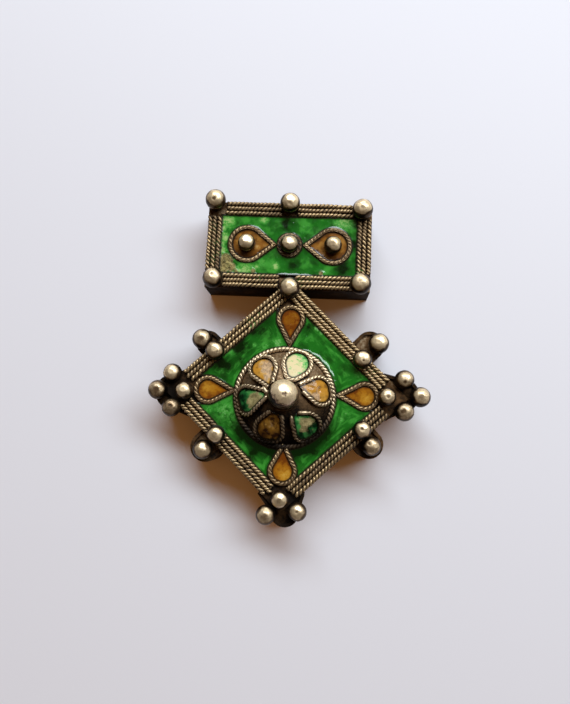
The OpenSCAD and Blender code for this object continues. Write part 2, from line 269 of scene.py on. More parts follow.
# Balls: right of and above the centre that they are measured from, and diameter. Then the flat worn
# on top (how it leans right and up, radius), the dimple (how it leans right and up, radius, depth),
# how dark the middle is, and how far the ball is polished
UPPER_BALLS = [
    ((-14.1, 8.2, 3.6), (0.1, 0.0, 0.5), (0.01, -0.21, 0.40, 0.10), 0.9, 0.95),
    ((0.0, 8.0, 3.5), (0.0, 0.22, 0.6), (0.04, -0.5, 0.36, 0.08), 0.5, 1.25),
    ((13.6, 7.1, 3.6), (0.0, 0.32, 0.5), (-0.12, -0.22, 0.42, 0.09), 0.3, 1.6),
    ((-13.7, -6.9, 3.6), (0.1, 0.1, 0.6), (-0.02, 0.18, 0.30, 0.05), 0.5, 0.8),
    ((0.6, -8.3, 3.6), (0.0, -0.04, 0.6), (-0.3, -0.2, 0.3, 0.03), 0.35, 0.85),
    ((13.6, -7.1, 3.7), (-0.1, 0.1, 0.5), (-0.15, -0.04, 0.50, 0.06), 0.4, 0.9)]
CELL_BALLS = [
    ((-7.8, 0.1, 3.0), (0.0, 0.26, 0.62), None, 0.0, 1.3),
    ((0.2, 0.1, 3.1), (0.02, 0.13, 0.6), None, 0.0, 1.3),
    ((8.3, 0.1, 3.1), (-0.02, -0.08, 0.56), None, 0.6, 0.95)]
LOBE_BALLS = [
    ((-1, 1, 11.35, 2.15, 3.5), (0.02, -0.1, 0.56), None, 0.5, 0.75),
    ((1, 1, 10.9, 3.2, 3.5), (-0.1, 0.1, 0.5), (-0.18, -0.08, 0.4, 0.05), 0.3, 1.0),
    ((-1, -1, 13.2, 2.2, 3.3), (0.9, 0.5, 0.6), None, 0.5, 0.75),
    ((1, -1, 10.7, 1.8, 3.2), (-0.33, 0.31, 0.6), (-0.4, 0.3, 0.25, 0.03), 0.4, 0.65)]
SIDE_FRAME_BALLS = [
    ((-1, 1, 11.8, -1.2, 3.3), (0.0, 0.04, 0.56), (0.41, -0.27, 0.2, 0.04), 0.5, 0.75),
    ((1, 1, 10.9, -1.1, 3.2), (0.0, 0.02, 0.48), (0.04, -0.24, 0.25, 0.06), 0.75, 0.85),
    ((-1, -1, 13.0, -1.5, 3.1), (0.02, -0.04, 0.52), None, 0.55, 0.95),
    ((1, -1, 10.1, -1.5, 3.1), (0.0, -0.02, 0.48), (-0.04, 0.1, 0.32, 0.06), 0.6, 0.8)]
CORNER_BALLS = [
    ((-20.8, 2.9, 3.2), (0.0, 0.1, 0.5), None, 0.0, 0.9),
    ((-23.3, -0.3, 3.3), (0.06, -0.06, 0.56), (0.04, -0.04, 0.66, 0.04), 0.45, 0.62),
    ((-20.6, -3.4, 3.2), (0.1, 0.1, 0.4), (0.08, 0.17, 0.5, 0.08), 0.65, 0.55),
    ((21.5, 3.4, 3.3), (0.0, 0.06, 0.45), (-0.09, -0.3, 0.35, 0.08), 0.6, 0.75),
    ((24.4, 0.4, 3.4), (-0.03, -0.06, 0.6), None, 0.7, 0.95),
    ((21.6, -2.3, 3.3), (-0.2, 0.0, 0.45), (-0.22, 0.02, 0.50, 0.05), 0.5, 0.68),
    ((-2.4, -21.6, 3.3), (-0.02, -0.06, 0.54), None, 0.3, 0.72),
    ((3.2, -20.8, 3.1), (0.0, -0.02, 0.42), (-0.06, 0.14, 0.3, 0.04), 0.45, 0.75)]
CORNER_FRAME_BALLS = [
    ((-18.3, -0.3, 3.0), (0.0, 0.1, 0.5), None, 0.1, 0.95),
    ((18.4, 0.2, 3.0), (0.0, -0.04, 0.5), (0.01, -0.06, 0.35, 0.05), 0.6, 0.85),
    ((0.0, -18.7, 3.0), (-0.02, -0.1, 0.48), None, 0.6, 0.95)]
TOP_BALL_LOOKS = ((0.05, 0.42, 0.75), (0.1, -0.04, 0.42, 0.07), 0.65, 1.0)

# Cells of the upper box: the ball in each teardrop, angle of the tip, and the ball in the ring
UPPER_DROPS = {"left": (0, 0), "right": (2, 180)}
MIDDLE_CELL = 1
# Teardrop cells of the lozenge: round end's centre, angle of the tip
LOZENGE_DROPS = {
    "top": (0.5, 13.8, -90), "right": (14.5, 0.1, 180),
    "bottom": (0.2, -13.9, 90), "left": (-14.1, 0.1, 0)}
# Petal cells of the boss, from the right and anticlockwise. Each runs round its corner circles:
# right of and above the axis, radius
PETALS = [
    [(3.2, 1.9, 0.6), (6.6, 0.8, 1.9), (6.1, 1.7, 2.2)],
    [(1.5, 4.5, 1.5), (2.1, 6.1, 2.5)],
    [(-2.7, 2.2, 0.6), (-3.9, 5.0, 2.3), (-4.5, 5.0, 2.0)],
    [(-3.8, 0.2, 0.9), (-6.9, -0.1, 1.8), (-6.6, -1.9, 1.5)],
    [(-1.7, -4.3, 1.7), (-2.8, -5.8, 2.2), (-1.5, -6.4, 1.6)],
    [(2.5, -3.7, 1.0), (3.6, -6.2, 1.5), (4.4, -4.9, 2.3)]]
# How near the axis each petal's wire comes, and how much of its two ends the solder has smoothed
PETAL_ENDS = [(3.5, 1.2), (0, 0), (3.2, 0.3), (3.0, 1.6), (3.4, 1.0), (3.9, 2.2)]

# Stains of the enamel: right of and above the centre that they are measured from, radius, strength
UPPER_PALE = [
    (-11.7, 4.5, 1.3, 0.75), (-4.9, 5.1, 0.8, 0.8), (-12.0, 1.2, 0.9, 0.7), (-12.3, -1.4, 0.9, 0.5),
    (-7.9, -4.9, 1.5, 0.7), (-5.9, -4.3, 0.6, 0.6), (-2.3, -4.1, 0.7, 0.8), (10.4, 5.0, 1.6, 0.55),
    (9.0, 4.9, 0.8, 0.4), (5.5, 2.3, 1.6, 0.18), (-5.0, -3.2, 1.3, 0.3), (-12.6, 4.4, 0.7, 0.9),
    (-12.6, 3.0, 0.7, 0.85), (-12.6, 1.6, 0.7, 0.9), (-12.6, 0.2, 0.7, 0.8),
    (-12.6, -1.4, 0.8, 0.9), (-9.2, -5.2, 1.0, 0.8)]
# Deep places of the upper field, with painted shadows of its balls
UPPER_DEEP_AND_SHADE = [
    (0.0, 4.6, 1.9, 0.6), (-1.6, 3.2, 1.3, 0.35), (1.6, -3.1, 2.0, 0.4), (10.7, -4.0, 2.0, 0.5),
    (12.6, 0.6, 1.3, 0.7), (12.7, -2.6, 1.0, 0.6), (12.4, 4.4, 1.2, 1.0), (12.6, 2.6, 1.0, 0.8),
    (-12.3, 0.2, 0.5, 0.6)]
UPPER_CRUST = [
    (-11.7, -3.2, 1.5, 1.1), (-12.2, -4.6, 1.4, 1.1), (-10.7, -4.4, 1.1, 1.0),
    (-12.8, 2.6, 0.4, 0.6), (-12.8, -0.8, 0.5, 0.6), (-9.6, -5.3, 0.6, 0.7), (-6.4, -5.1, 0.7, 0.7),
    (6.3, -5.2, 0.6, 0.8)]
LOZENGE_PALE = [
    (-1.7, 9.3, 0.9, 0.5), (-4.1, 8.5, 0.8, 0.3), (-6.0, 8.7, 0.4, 0.35), (0.4, 9.5, 0.6, 0.4),
    (-10.4, 7.2, 0.6, 0.3), (5.4, 12.2, 0.45, 0.8), (6.3, 11.4, 0.4, 0.6), (9.3, 9.1, 0.6, 0.4),
    (8.0, 10.3, 0.5, 0.25), (10.3, -4.3, 0.7, 0.3), (11.6, -3.0, 1.0, 0.2), (-13.8, -3.4, 0.9, 0.3),
    (-10.6, -3.4, 2.4, 0.3), (-9.6, -5.0, 1.4, 0.2), (4.4, -13.3, 0.9, 0.15),
    (-11.9, 3.5, 0.6, 0.2), (13.2, 3.8, 0.8, 0.15)]
# Deep places of the lozenge's panels, with painted shadow of the dome below the boss
LOZENGE_DEEP_AND_SHADE = [
    (-4.0, 13.4, 2.2, 0.8), (-12.4, 5.0, 1.9, 0.9), (-8.8, 8.8, 2.2, 0.8), (3.6, 11.8, 1.2, 0.6),
    (-9.2, 5.7, 1.7, 0.65), (-7.3, 8.2, 1.8, 0.6), (-6.0, 10.8, 1.4, 0.5), (-1.6, 12.2, 1.2, 0.5),
    (-7.4, -8.4, 1.5, 0.9), (-5.0, -10.4, 1.6, 1.0), (7.4, -8.2, 1.3, 0.6), (12.8, 6.4, 1.2, 0.4),
    (-14.8, 3.6, 0.9, 0.8), (-10.6, 5.0, 1.9, 0.8)]
DROP_PALE = [(14.9, -0.3, 1.0, 0.35), (0.7, -14.6, 1.0, 0.55), (-14.6, 0.5, 1.0, 0.25)]
DROP_DEEP = [
    (0.5, 12.4, 1.6, 0.8), (0.4, 14.2, 2.2, 0.7), (12.4, 0.9, 1.1, 0.5), (0.2, -11.4, 1.1, 0.6),
    (-14.4, -1.0, 1.2, 0.4)]
UPPER_DROP_PALE = [
    (-5.8, -0.5, 0.5, 0.5), (-4.4, -0.2, 0.5, 0.2), (9.8, 1.8, 0.6, 0.3), (6.4, 0.6, 0.6, 0.15)]
# Deep places of the upper cells, with painted shadows under their balls
UPPER_DROP_DEEP_AND_SHADE = [
    (-7.9, -1.7, 1.3, 0.9), (-6.2, 0.9, 0.6, 0.5), (7.0, -0.6, 0.8, 0.4), (8.3, -1.6, 1.1, 0.8)]
# Where the enamel has pooled against a wire and shines: right of and above the centre, radius, strength
UPPER_POOLS = [
    (8.8, 4.0, 1.3, 0.35), (-0.6, -5.5, 1.3, 0.4), (1.4, -5.5, 1.3, 0.4), (3.2, -5.5, 1.2, 0.35),
    (-5.4, 3.2, 1.6, 0.3)]
LOZENGE_POOLS = [
    (4.4, 8.3, 1.4, 0.8), (5.8, 6.9, 1.6, 1.1), (7.2, 5.4, 1.7, 1.15), (8.4, 3.8, 1.5, 1.0),
    (9.0, 2.6, 1.0, 0.7), (-11.5, 2.3, 1.4, 0.5), (-9.4, -8.8, 1.6, 0.3), (-6.9, -11.4, 1.6, 0.3),
    (-4.6, -13.6, 1.6, 0.3)]
# Stains of the petals, from the boss's axis
PETAL_PALE = [
    (5.0, -0.1, 0.5, 1.0), (4.4, 0.7, 0.5, 0.7), (1.3, 5.6, 2.0, 1.9), (0.9, 4.2, 0.9, 1.5),
    (-2.7, 3.4, 0.8, 1.1), (-3.3, 4.6, 0.9, 0.7), (-4.4, 6.0, 0.5, 0.6), (-4.6, 0.5, 0.7, 0.7),
    (-3.9, -0.1, 0.5, 0.7), (-2.3, -5.3, 0.3, 0.4), (-1.7, -5.6, 0.25, 0.45),
    (-2.9, -5.0, 0.25, 0.35), (2.9, -3.8, 0.5, 0.5)]
PETAL_WORN = [
    (5.6, 1.0, 0.9, 1.0), (4.4, 1.9, 0.9, 0.9), (6.0, 0.1, 0.5, 0.7), (-3.6, 5.2, 1.3, 1.0),
    (-2.6, 4.0, 0.9, 0.9), (-3.4, 3.3, 0.8, 0.7), (-5.2, -0.6, 1.5, 1.0), (-5.9, -2.0, 0.7, 0.7),
    (4.1, -4.6, 1.5, 1.05), (2.9, -4.0, 0.6, 0.5), (-2.2, -5.4, 1.3, 0.35)]
PETAL_DEEP = [
    (-7.6, -0.4, 1.0, 1.0), (-7.2, -2.2, 0.9, 1.0), (-6.4, 1.2, 0.7, 0.8), (4.8, -6.0, 1.2, 1.0),
    (3.2, -6.6, 1.0, 1.0), (5.7, -4.7, 0.9, 1.0), (-3.4, -6.8, 1.5, 0.9), (-1.2, -6.8, 1.2, 0.9),
    (-1.4, -4.0, 1.0, 0.6), (-4.4, -5.6, 0.9, 0.8), (-2.3, -5.2, 1.4, 0.45)]
# Green left in the grooves of the wires: on the upper box, then on the lozenge
UPPER_RESIDUE = [
    (2.4, -7.0, 1.0, 1.0), (4.4, -6.3, 0.8, 0.7), (13.4, -4.6, 1.0, 1.0), (-13.3, -2.0, 0.8, 0.6),
    (-12.9, 1.0, 0.8, 0.5), (-5.0, -6.2, 1.2, 0.6), (13.0, -2.2, 0.6, 0.5), (-14.2, 3.0, 1.8, 0.42),
    (-14.2, 0.0, 1.8, 0.42), (-14.2, -3.0, 1.8, 0.45)]
LOZENGE_RESIDUE = [
    (-6.5, 12.9, 1.3, 1.0), (15.8, 4.6, 1.3, 0.9), (-5.4, 14.4, 0.7, 0.6), (14.2, 5.6, 0.7, 0.5)]


def ripple(points, size, seed, waves=7):
    """Smooth uneven values of about -1 to 1 over the points, with features of some size."""
    dice = np.random.default_rng(seed)
    ways = dice.normal(size=(waves, 3))
    ways *= dice.uniform(0.6, 1.5, size=(waves, 1)) / np.linalg.norm(ways, axis=1)[:, None]
    phases = dice.uniform(0, 2 * math.pi, waves)
    return np.sin(points @ ways.T * (math.pi / size) + phases).sum(axis=1) / math.sqrt(waves)


def stain(points, table, x=0.0, y=0.0):
    """How strong the stains of a table are at each point."""
    total = np.zeros(len(points))
    for right, above, radius, strength in table:
        away = np.hypot(points[:, 0] - x - right, points[:, 1] - y - above) / radius
        total = np.maximum(total, strength * np.exp(-away ** 2))
    return total


def join(parts):
    """One form from many. A form is its points, its arrays of like faces, and its marks."""
    points, faces, marks = [], [], {}
    base = 0
    for part_points, part_faces, part_marks in parts:
        points.append(part_points)
        faces += [np.asarray(like) + base for like in part_faces]
        for mark, values in part_marks.items():
            marks.setdefault(mark, []).append(values)
        base += len(part_points)
    return np.concatenate(points), faces, {mark: np.concatenate(v) for mark, v in marks.items()}


def mesh_piece(name, form, material, smooth=True):
    """A mesh object from a form in millimetres, with a float attribute for each mark."""
    points, faces, marks = form
    mesh = bpy.data.meshes.new(name)
    mesh.vertices.add(len(points))
    mesh.vertices.foreach_set("co", (np.asarray(points) * MM).astype(np.float32).ravel())
    corners = np.concatenate([np.asarray(like).ravel() for like in faces])
    sizes = np.concatenate([np.full(len(like), np.asarray(like).shape[1]) for like in faces])
    mesh.loops.add(len(corners))
    mesh.loops.foreach_set("vertex_index", corners.astype(np.int32))
    mesh.polygons.add(len(sizes))
    starts = np.concatenate([[0], np.cumsum(sizes)[:-1]])
    mesh.polygons.foreach_set("loop_start", starts.astype(np.int32))
    mesh.update(calc_edges=True)
    for mark, values in marks.items():
        layer = mesh.attributes.new(mark, "FLOAT", "POINT")
        layer.data.foreach_set("value", np.asarray(values, np.float32))
    if smooth:
        mesh.shade_smooth()
    mesh.materials.append(material)
    piece = bpy.data.objects.new(name, mesh)
    bpy.context.scene.collection.objects.link(piece)
    return piece


def rows_and_caps(count, sides, closed):
    """Faces of a tube of rings, with its two ends closed unless it runs back into itself."""
    ring = np.arange(count if closed else count - 1)
    around = np.arange(sides)
    low = ring[:, None] * sides
    high = (ring[:, None] + 1) % count * sides
    beside = (around + 1) % sides
    walls = np.stack([low + around, low + beside, high + beside, high + around], axis=-1).reshape(-1, 4)
    if closed:
        return [walls]
    first = around[::-1][None, :]
    last = ((count - 1) * sides + around)[None, :]
    return [walls, np.concatenate([first, last])]


def unit(ways):
    """The same ways, each of length 1."""
    return ways / np.linalg.norm(ways, axis=1)[:, None]


def ways_ahead(points, closed):
    """The way ahead at each point of a path."""
    if closed:
        return unit(np.roll(points, -1, axis=0) - np.roll(points, 1, axis=0))
    return unit(np.gradient(points, axis=0))


def lengths_along(path):
    """How far along a path each of its points lies."""
    return np.concatenate([[0], np.cumsum(np.linalg.norm(np.diff(path, axis=0), axis=1))])


def at_lengths(path, along, where):
    """Points of a path at some lengths along it."""
    return np.stack([np.interp(where, along, path[:, k]) for k in range(path.shape[1])], axis=1)


def in_space(points):
    """Points of the plane as points in space, at height 0."""
    return np.hstack([points, np.zeros((len(points), 1))])


def frames_along(path, ups, step, closed):
    """Points at an even distance along a path, the ways to the side and up at each, and its length."""
    source = np.asarray(path, float)
    ups = np.asarray(ups, float)
    if closed:
        source = np.vstack([source, source[:1]])
        ups = np.vstack([ups, ups[:1]])
    along = lengths_along(source)
    count = max(4, int(round(along[-1] / step)))
    where = np.linspace(0, along[-1], count + 1)
    if closed:
        where = where[:-1]
    points = at_lengths(source, along, where)
    ahead = ways_ahead(points, closed)
    side = unit(np.cross(ahead, at_lengths(ups, along, where)))
    return points, side, np.cross(side, ahead), along[-1]


def twisted_wire(path, ups, wire_r, closed=False, seed=0, worn=1.0):
    """Two strands wound round a path, with their crests worn flat."""
    dice = np.random.default_rng(WIRE_DRAWS + seed)
    points, side, up, length = frames_along(path, ups, TWIST / RINGS_A_TURN, closed)
    turns = max(1, round(length / TWIST)) if closed else length / TWIST
    count = len(points)
    spin = 2 * math.pi * turns * np.arange(count) / (count if closed else count - 1)
    spin = spin + dice.uniform(0, 2 * math.pi)
    if not closed:
        spin = spin + ripple(points, TWIST_RUN, seed)
    flat = wire_r * (FLAT_AT + FLAT_UNEVEN * ripple(points, FLAT_RUN, seed + 7))
    rubbed = worn * (1 + WEAR_UNEVEN * np.clip(ripple(points, WEAR_RUN, seed + 13), -1.5, 1.5))[:, None]
    around = 2 * math.pi * np.arange(STRAND_SIDES) / STRAND_SIDES
    parts = []
    for strand_turn in (0, math.pi):
        angle = spin + strand_turn
        radial = np.cos(angle)[:, None] * side + np.sin(angle)[:, None] * up
        centre = points + radial * wire_r * STRAND_OFF
        run = ways_ahead(centre, closed)
        cross = unit(np.cross(run, radial))
        outward = np.cross(cross, run)
        round_way = (np.cos(around)[None, :, None] * outward[:, None, :]
                     + np.sin(around)[None, :, None] * cross[:, None, :])
        ring = centre[:, None, :] + STRAND_R * wire_r * round_way
        high = ((ring - points[:, None, :]) * up[:, None, :]).sum(axis=2)
        over = np.clip(high - flat[:, None], 0, None)
        ring = ring - FLAT_SHARE * over[:, :, None] * up[:, None, :]
        away = np.linalg.norm(ring - points[:, None, :], axis=2) / wire_r
        # Fingers reach the outer part of a strand, and its upper part more than its sides
        outer = np.clip((away - OUTER_FROM) / OUTER_RUN, 0, 1)
        crest = outer * np.clip(SIDE_WORN + high / wire_r, 0, 1) * rubbed
        faces = rows_and_caps(count, STRAND_SIDES, closed)
        parts.append((ring.reshape(-1, 3), faces, {"crest": crest.reshape(-1)}))
    return join(parts)


def smooth_end(point, way, up, length, r, seed):
    """A wire's end that the solder has run over: a short rod that thickens and has a round tip."""
    sides = 14
    rings = 15
    # Along the rod: where the wire ends, and where the tip starts to round off
    wire_end = 0.8
    round_from = 0.75
    first_r = 0.55
    thickens = 1.5
    blunt = 0.97
    shares = np.linspace(0, 1, rings)
    way = np.asarray(way, float) / np.linalg.norm(way)
    up = np.asarray(up, float)
    side = np.cross(way, up)
    side /= np.linalg.norm(side)
    up = np.cross(side, way)
    tip = np.clip((shares - round_from) / (1 - round_from), 0, blunt)
    grown = r * np.sqrt(np.clip(1 - tip ** 2, 0, 1))
    grown *= np.clip(first_r + thickens * shares, 0, 1)
    around = 2 * math.pi * np.arange(sides) / sides
    centre = np.asarray(point, float) + np.outer((shares - wire_end) * length, way)
    ring = centre[:, None, :] + grown[:, None, None] * (
        np.cos(around)[None, :, None] * side + np.sin(around)[None, :, None] * up)
    points = ring.reshape(-1, 3)
    points = points + 0.03 * r * ripple(points, 0.5, seed)[:, None] * up
    crest = np.clip(0.5 + 0.5 * np.tile(np.sin(around), rings), 0, 1)
    return points, rows_and_caps(rings, sides, False), {"crest": crest}


def arc(x, y, r, start, end, step=0.12):
    """Points round a circle, anticlockwise."""
    count = max(3, int(abs(end - start) * r / step))
    turns = np.linspace(start, end, count + 1)
    return [(x + r * math.cos(a), y + r * math.sin(a)) for a in turns]


def circle(x, y, r):
    """Points of a whole circle."""
    return arc(x, y, r, 0, 2 * math.pi)[:-1]


def teardrop(r, tip, x, y, degrees):
    """Outline of a teardrop cell from its tip round and back."""
    turn = math.radians(degrees)
    opening = math.acos(r / tip)
    outline = [(tip, 0.0)] + arc(0, 0, r, opening, 2 * math.pi - opening)
    return [
        (x + px * math.cos(turn) - py * math.sin(turn), y + px * math.sin(turn) + py * math.cos(turn))
        for px, py in outline]


def teardrop_path(r, tip, x, y, degrees, z):
    """The way of a wire round a teardrop cell, from its tip back to its tip."""
    outline = teardrop(r, tip, x, y, degrees)
    return laid_flat(outline + outline[:1], z)


def petal(corners, grow):
    """Outline of a petal cell round its corner circles, anticlockwise."""
    ways = []
    for i, (ax, ay, ar) in enumerate(corners):
        bx, by, br = corners[(i + 1) % len(corners)]
        ways.append(math.atan2(by - ay, bx - ax) - math.acos((ar - br) / math.hypot(bx - ax, by - ay)))
    outline = []
    for i, (x, y, r) in enumerate(corners):
        start, end = ways[i - 1], ways[i]
        while end < start:
            end += 2 * math.pi
        outline += arc(x, y, r + grow, start, end)
    return outline


def even_loop(outline, step):
    """A closed outline again, with points at an even distance."""
    source = np.asarray(list(outline) + [outline[0]], float)
    along = lengths_along(source)
    where = np.linspace(0, along[-1], max(8, int(along[-1] / step)) + 1)[:-1]
    return at_lengths(source, along, where)


def straight(x0, y0, x1, y1, z, seed):
    """A hand-laid straight run, a little uneven."""
    step = 0.6
    # How far it strays to the right, up and over the plate, over what length, and its draws
    strays = ((0.04, 3.1, 0), (0.04, 3.1, 50), (0.02, 4.0, 90))
    count = max(2, int(math.hypot(x1 - x0, y1 - y0) / step))
    share = np.linspace(0, 1, count + 1)[:, None]
    flat = np.array([[x0, y0]]) * (1 - share) + np.array([[x1, y1]]) * share
    path = np.hstack([flat, np.full_like(share, z)])
    for k, (off, run, draw) in enumerate(strays):
        path[:, k] += off * ripple(path, run, seed + draw)
    return path


def upright(path):
    return np.tile([0.0, 0.0, 1.0], (len(path), 1))


def laid_flat(outline, z):
    return np.array([(x, y, z) for x, y in outline])


def cell_at(i):
    """Middle of one of the upper box's cells."""
    x, y = CELL_BALLS[i][0][:2]
    return UPPER_X + x, UPPER_Y + y


def over_dome(points, lift):
    """Points over the dome, measured from its axis, and the ways out of its surface there."""
    x, y = points[:, 0], points[:, 1]
    z = np.sqrt(np.clip((DOME_BALL_R + lift) ** 2 - x ** 2 - y ** 2, 0, None))
    foot = np.stack([x, y, z], axis=1)
    return foot + np.array([CENTRE_X, BOSS_Y, DOME_BALL_Z]), unit(foot)


def on_side(across, up, along, out):
    """A point measured along a lozenge side from its left or right corner, and out of that side."""
    return (
        CENTRE_X + across * (LOZENGE_W / 2 - along * math.cos(SIDE) + out * math.sin(SIDE)),
        CENTRE_Y + up * (along * math.sin(SIDE) + out * math.cos(SIDE)))


def inside(points, loop):
    """Which points lie inside a closed loop."""
    px, py = points[:, 0, None], points[:, 1, None]
    x0, y0 = loop[:, 0], loop[:, 1]
    x1, y1 = np.roll(x0, -1), np.roll(y0, -1)
    spans = (y0 > py) != (y1 > py)
    rise = np.where(y1 == y0, 1e-9, y1 - y0)
    crossings = spans & (px < (x1 - x0) * (py - y0) / rise + x0)
    return crossings.sum(axis=1) % 2 == 1


def nearest(points, loops):
    """Distance of each point from the loops, worked out some loop points at a time."""
    batch = 200
    away = np.full(len(points), 1e9)
    for loop in loops:
        for first in range(0, len(loop), batch):
            part = loop[first:first + batch]
            gaps = np.hypot(points[:, 0, None] - part[:, 0], points[:, 1, None] - part[:, 1])
            away = np.minimum(away, gaps.min(axis=1))
    return away


def filled(points, loops):
    """Which points lie inside the first loop and outside the others."""
    keep = inside(points, loops[0])
    for hole in loops[1:]:
        keep &= ~inside(points, hole)
    return keep


def flat_sheet(outline, holes, step):
    """Triangles that fill an outline round its holes: points, triangles, distance from the edges."""
    row_share = 0.866
    edge_share = 0.55
    loops = [even_loop(loop, step) for loop in [outline, *holes]]
    low, high = loops[0].min(axis=0), loops[0].max(axis=0)
    across, up = np.meshgrid(
        np.arange(low[0], high[0], step), np.arange(low[1], high[1], step * row_share))
    across[1::2] += step / 2
    grid = np.stack([across.ravel(), up.ravel()], axis=1)
    grid = grid[filled(grid, loops) & (nearest(grid, loops) > edge_share * step)]
    points = np.concatenate(loops + [grid])
    edges, base = [], 0
    for loop in loops:
        count = len(loop)
        edges += [(base + i, base + (i + 1) % count) for i in range(count)]
        base += count
    made = delaunay_2d_cdt([Vector(p) for p in points.tolist()], edges, [], 0, 1e-6)
    points = np.array([tuple(p) for p in made[0]])
    triangles = np.array([tuple(face) for face in made[2]])
    triangles = triangles[filled(points[triangles].mean(axis=1), loops)]
    corners = points[triangles]
    sense = np.cross(corners[:, 1] - corners[:, 0], corners[:, 2] - corners[:, 0])
    triangles[sense < 0] = triangles[sense < 0][:, ::-1]
    used, triangles = np.unique(triangles, return_inverse=True)
    return points[used], triangles.reshape(-1, 3), nearest(points[used], loops)


def closed_sheet(top, bottom, triangles, marks):
    """A closed form from a top and a bottom surface of the same triangles."""
    count = len(top)
    edges = np.concatenate([triangles[:, [0, 1]], triangles[:, [1, 2]], triangles[:, [2, 0]]])
    code = edges[:, 0] * count + edges[:, 1]
    back = edges[:, 1] * count + edges[:, 0]
    rim = edges[~np.isin(code, back)]
    walls = np.stack([rim[:, 1], rim[:, 0], rim[:, 0] + count, rim[:, 1] + count], axis=1)
    faces = [np.concatenate([triangles, triangles[:, ::-1] + count]), walls]
    return np.concatenate([top, bottom]), faces, {mark: np.tile(v, 2) for mark, v in marks.items()}


def pour_height(points, edge, seed, rough=1.0, pool=0.0):
    """Height of a poured sheet over its level: it climbs the wires and is uneven between them."""
    spread = in_space(points)
    level = CLIMB * np.exp(-edge / CLIMB_REACH) - SUNK
    level += pool * POOL_CLIMB / (1 + np.exp((edge / np.maximum(pool, 0.1) - POOL_REACH) / POOL_EASE))
    level += rough * SWELL_H * ripple(spread, SWELL_SIZE, seed)
    level += rough * WAVE_H * ripple(spread, WAVE_SIZE, seed + 1) * np.clip(1 - pool, 0, 1)
    pits = np.clip(ripple(spread, PIT_SIZE, seed + 2) - PIT_FROM, 0, 1) * np.clip(1 - 2 * pool, 0, 1)
    return level - rough * PIT_DEPTH * pits


def painted_boss_shadow(points):
    """Painted shadow of the dome on the enamel close round the lower side of the boss."""
    right, above = points[:, 0] - CENTRE_X, points[:, 1] - BOSS_Y
    away = np.clip(np.hypot(right, above) - BOSS_R, 0, None)
    low = np.clip((-above / BOSS_R - LOW_FROM) / (1 - LOW_FROM), 0, 1)
    return LOW_SHADE * low ** 0.5 * np.exp(-(away / LOW_REACH) ** 2)


def enamel_piece(name, node, material, top, bottom, triangles, marks):
    """A closed sheet of enamel in the place of its solid."""
    piece = mesh_piece(name, closed_sheet(top, bottom, triangles, marks), material)
    dress(piece, [node])


def flat_enamel(name, node, material, outline, holes, seed, stains, origin, step=0.16, flow=1.0):
    """A poured sheet on the face plate. Its stains are tables of pale places, deep places with painted
    shadows, worn places and pools.
    """
    points, triangles, edge = flat_sheet(outline, holes, step)
    pale, deep, worn, pool = (stain(points, table, *origin) for table in stains)
    # The dome's painted shadow joins the deep places
    deep = np.maximum(deep, painted_boss_shadow(points))
    edge = edge - UNDER_WIRE
    level = DEPTH + ENAMEL_T + pour_height(points, np.clip(edge, 0, None), seed, 1.0, pool)
    crust = CRUST_H + CRUST_UNEVEN * ripple(in_space(points), CRUST_SIZE, seed + 4)
    level += worn * crust + PALE_H * pale
    top = np.column_stack([points, level])
    bottom = np.column_stack([points, np.full(len(points), DEPTH - BEDDED)])
    marks = {"edge": edge, "flow": edge * flow, "pale": pale, "deep": deep, "worn": worn, "pool": pool}
    enamel_piece(name, node, material, top, bottom, triangles, marks)


def petal_enamel(number, material, seed):
    """What is left of the enamel in a petal cell, over the dome."""
    points, triangles, edge = flat_sheet(petal(PETALS[number - 1], -RIM_TO_EDGE), [], step=0.11)
    pale, deep, worn = (stain(points, table) for table in (PETAL_PALE, PETAL_DEEP, PETAL_WORN))
    edge = edge - UNDER_WIRE
    spread = in_space(points)
    # Wear is patchy
    worn *= np.clip(0.85 + 0.5 * ripple(spread, 1.1, seed + 9), 0, 1.3)
    lift = ENAMEL_T - PETAL_SUNK + pour_height(points, np.clip(edge, 0, None), seed, PETAL_ROUGH)
    lift -= PETAL_LOSS * worn - worn * PETAL_UNEVEN * ripple(spread, 0.7, seed + 4)
    top, _ = over_dome(points, lift)
    bottom, _ = over_dome(points, -BEDDED)
    marks = {"edge": edge, "flow": edge, "pale": pale, "deep": deep, "worn": worn}
    enamel_piece(
        f"petal_{number}_sheet", f"petal_enamel_{number}", material, top, bottom, triangles, marks)


def dress(piece, nodes=()):
    """Lets a piece ride with the pendant, and hides the solids it stands for."""
    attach(piece, "root")
    if nodes:
        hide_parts(*nodes)


def plain_ball():
    """Points and triangles of a ball of radius 1."""
    work = bmesh.new()
    bmesh.ops.create_icosphere(work, subdivisions=5, radius=1.0)
    points = np.array([tuple(v.co) for v in work.verts])
    faces = np.array([[v.index for v in face.verts] for face in work.faces])
    work.free()
    return unit(points), faces


BALL_POINTS, BALL_FACES = plain_ball()


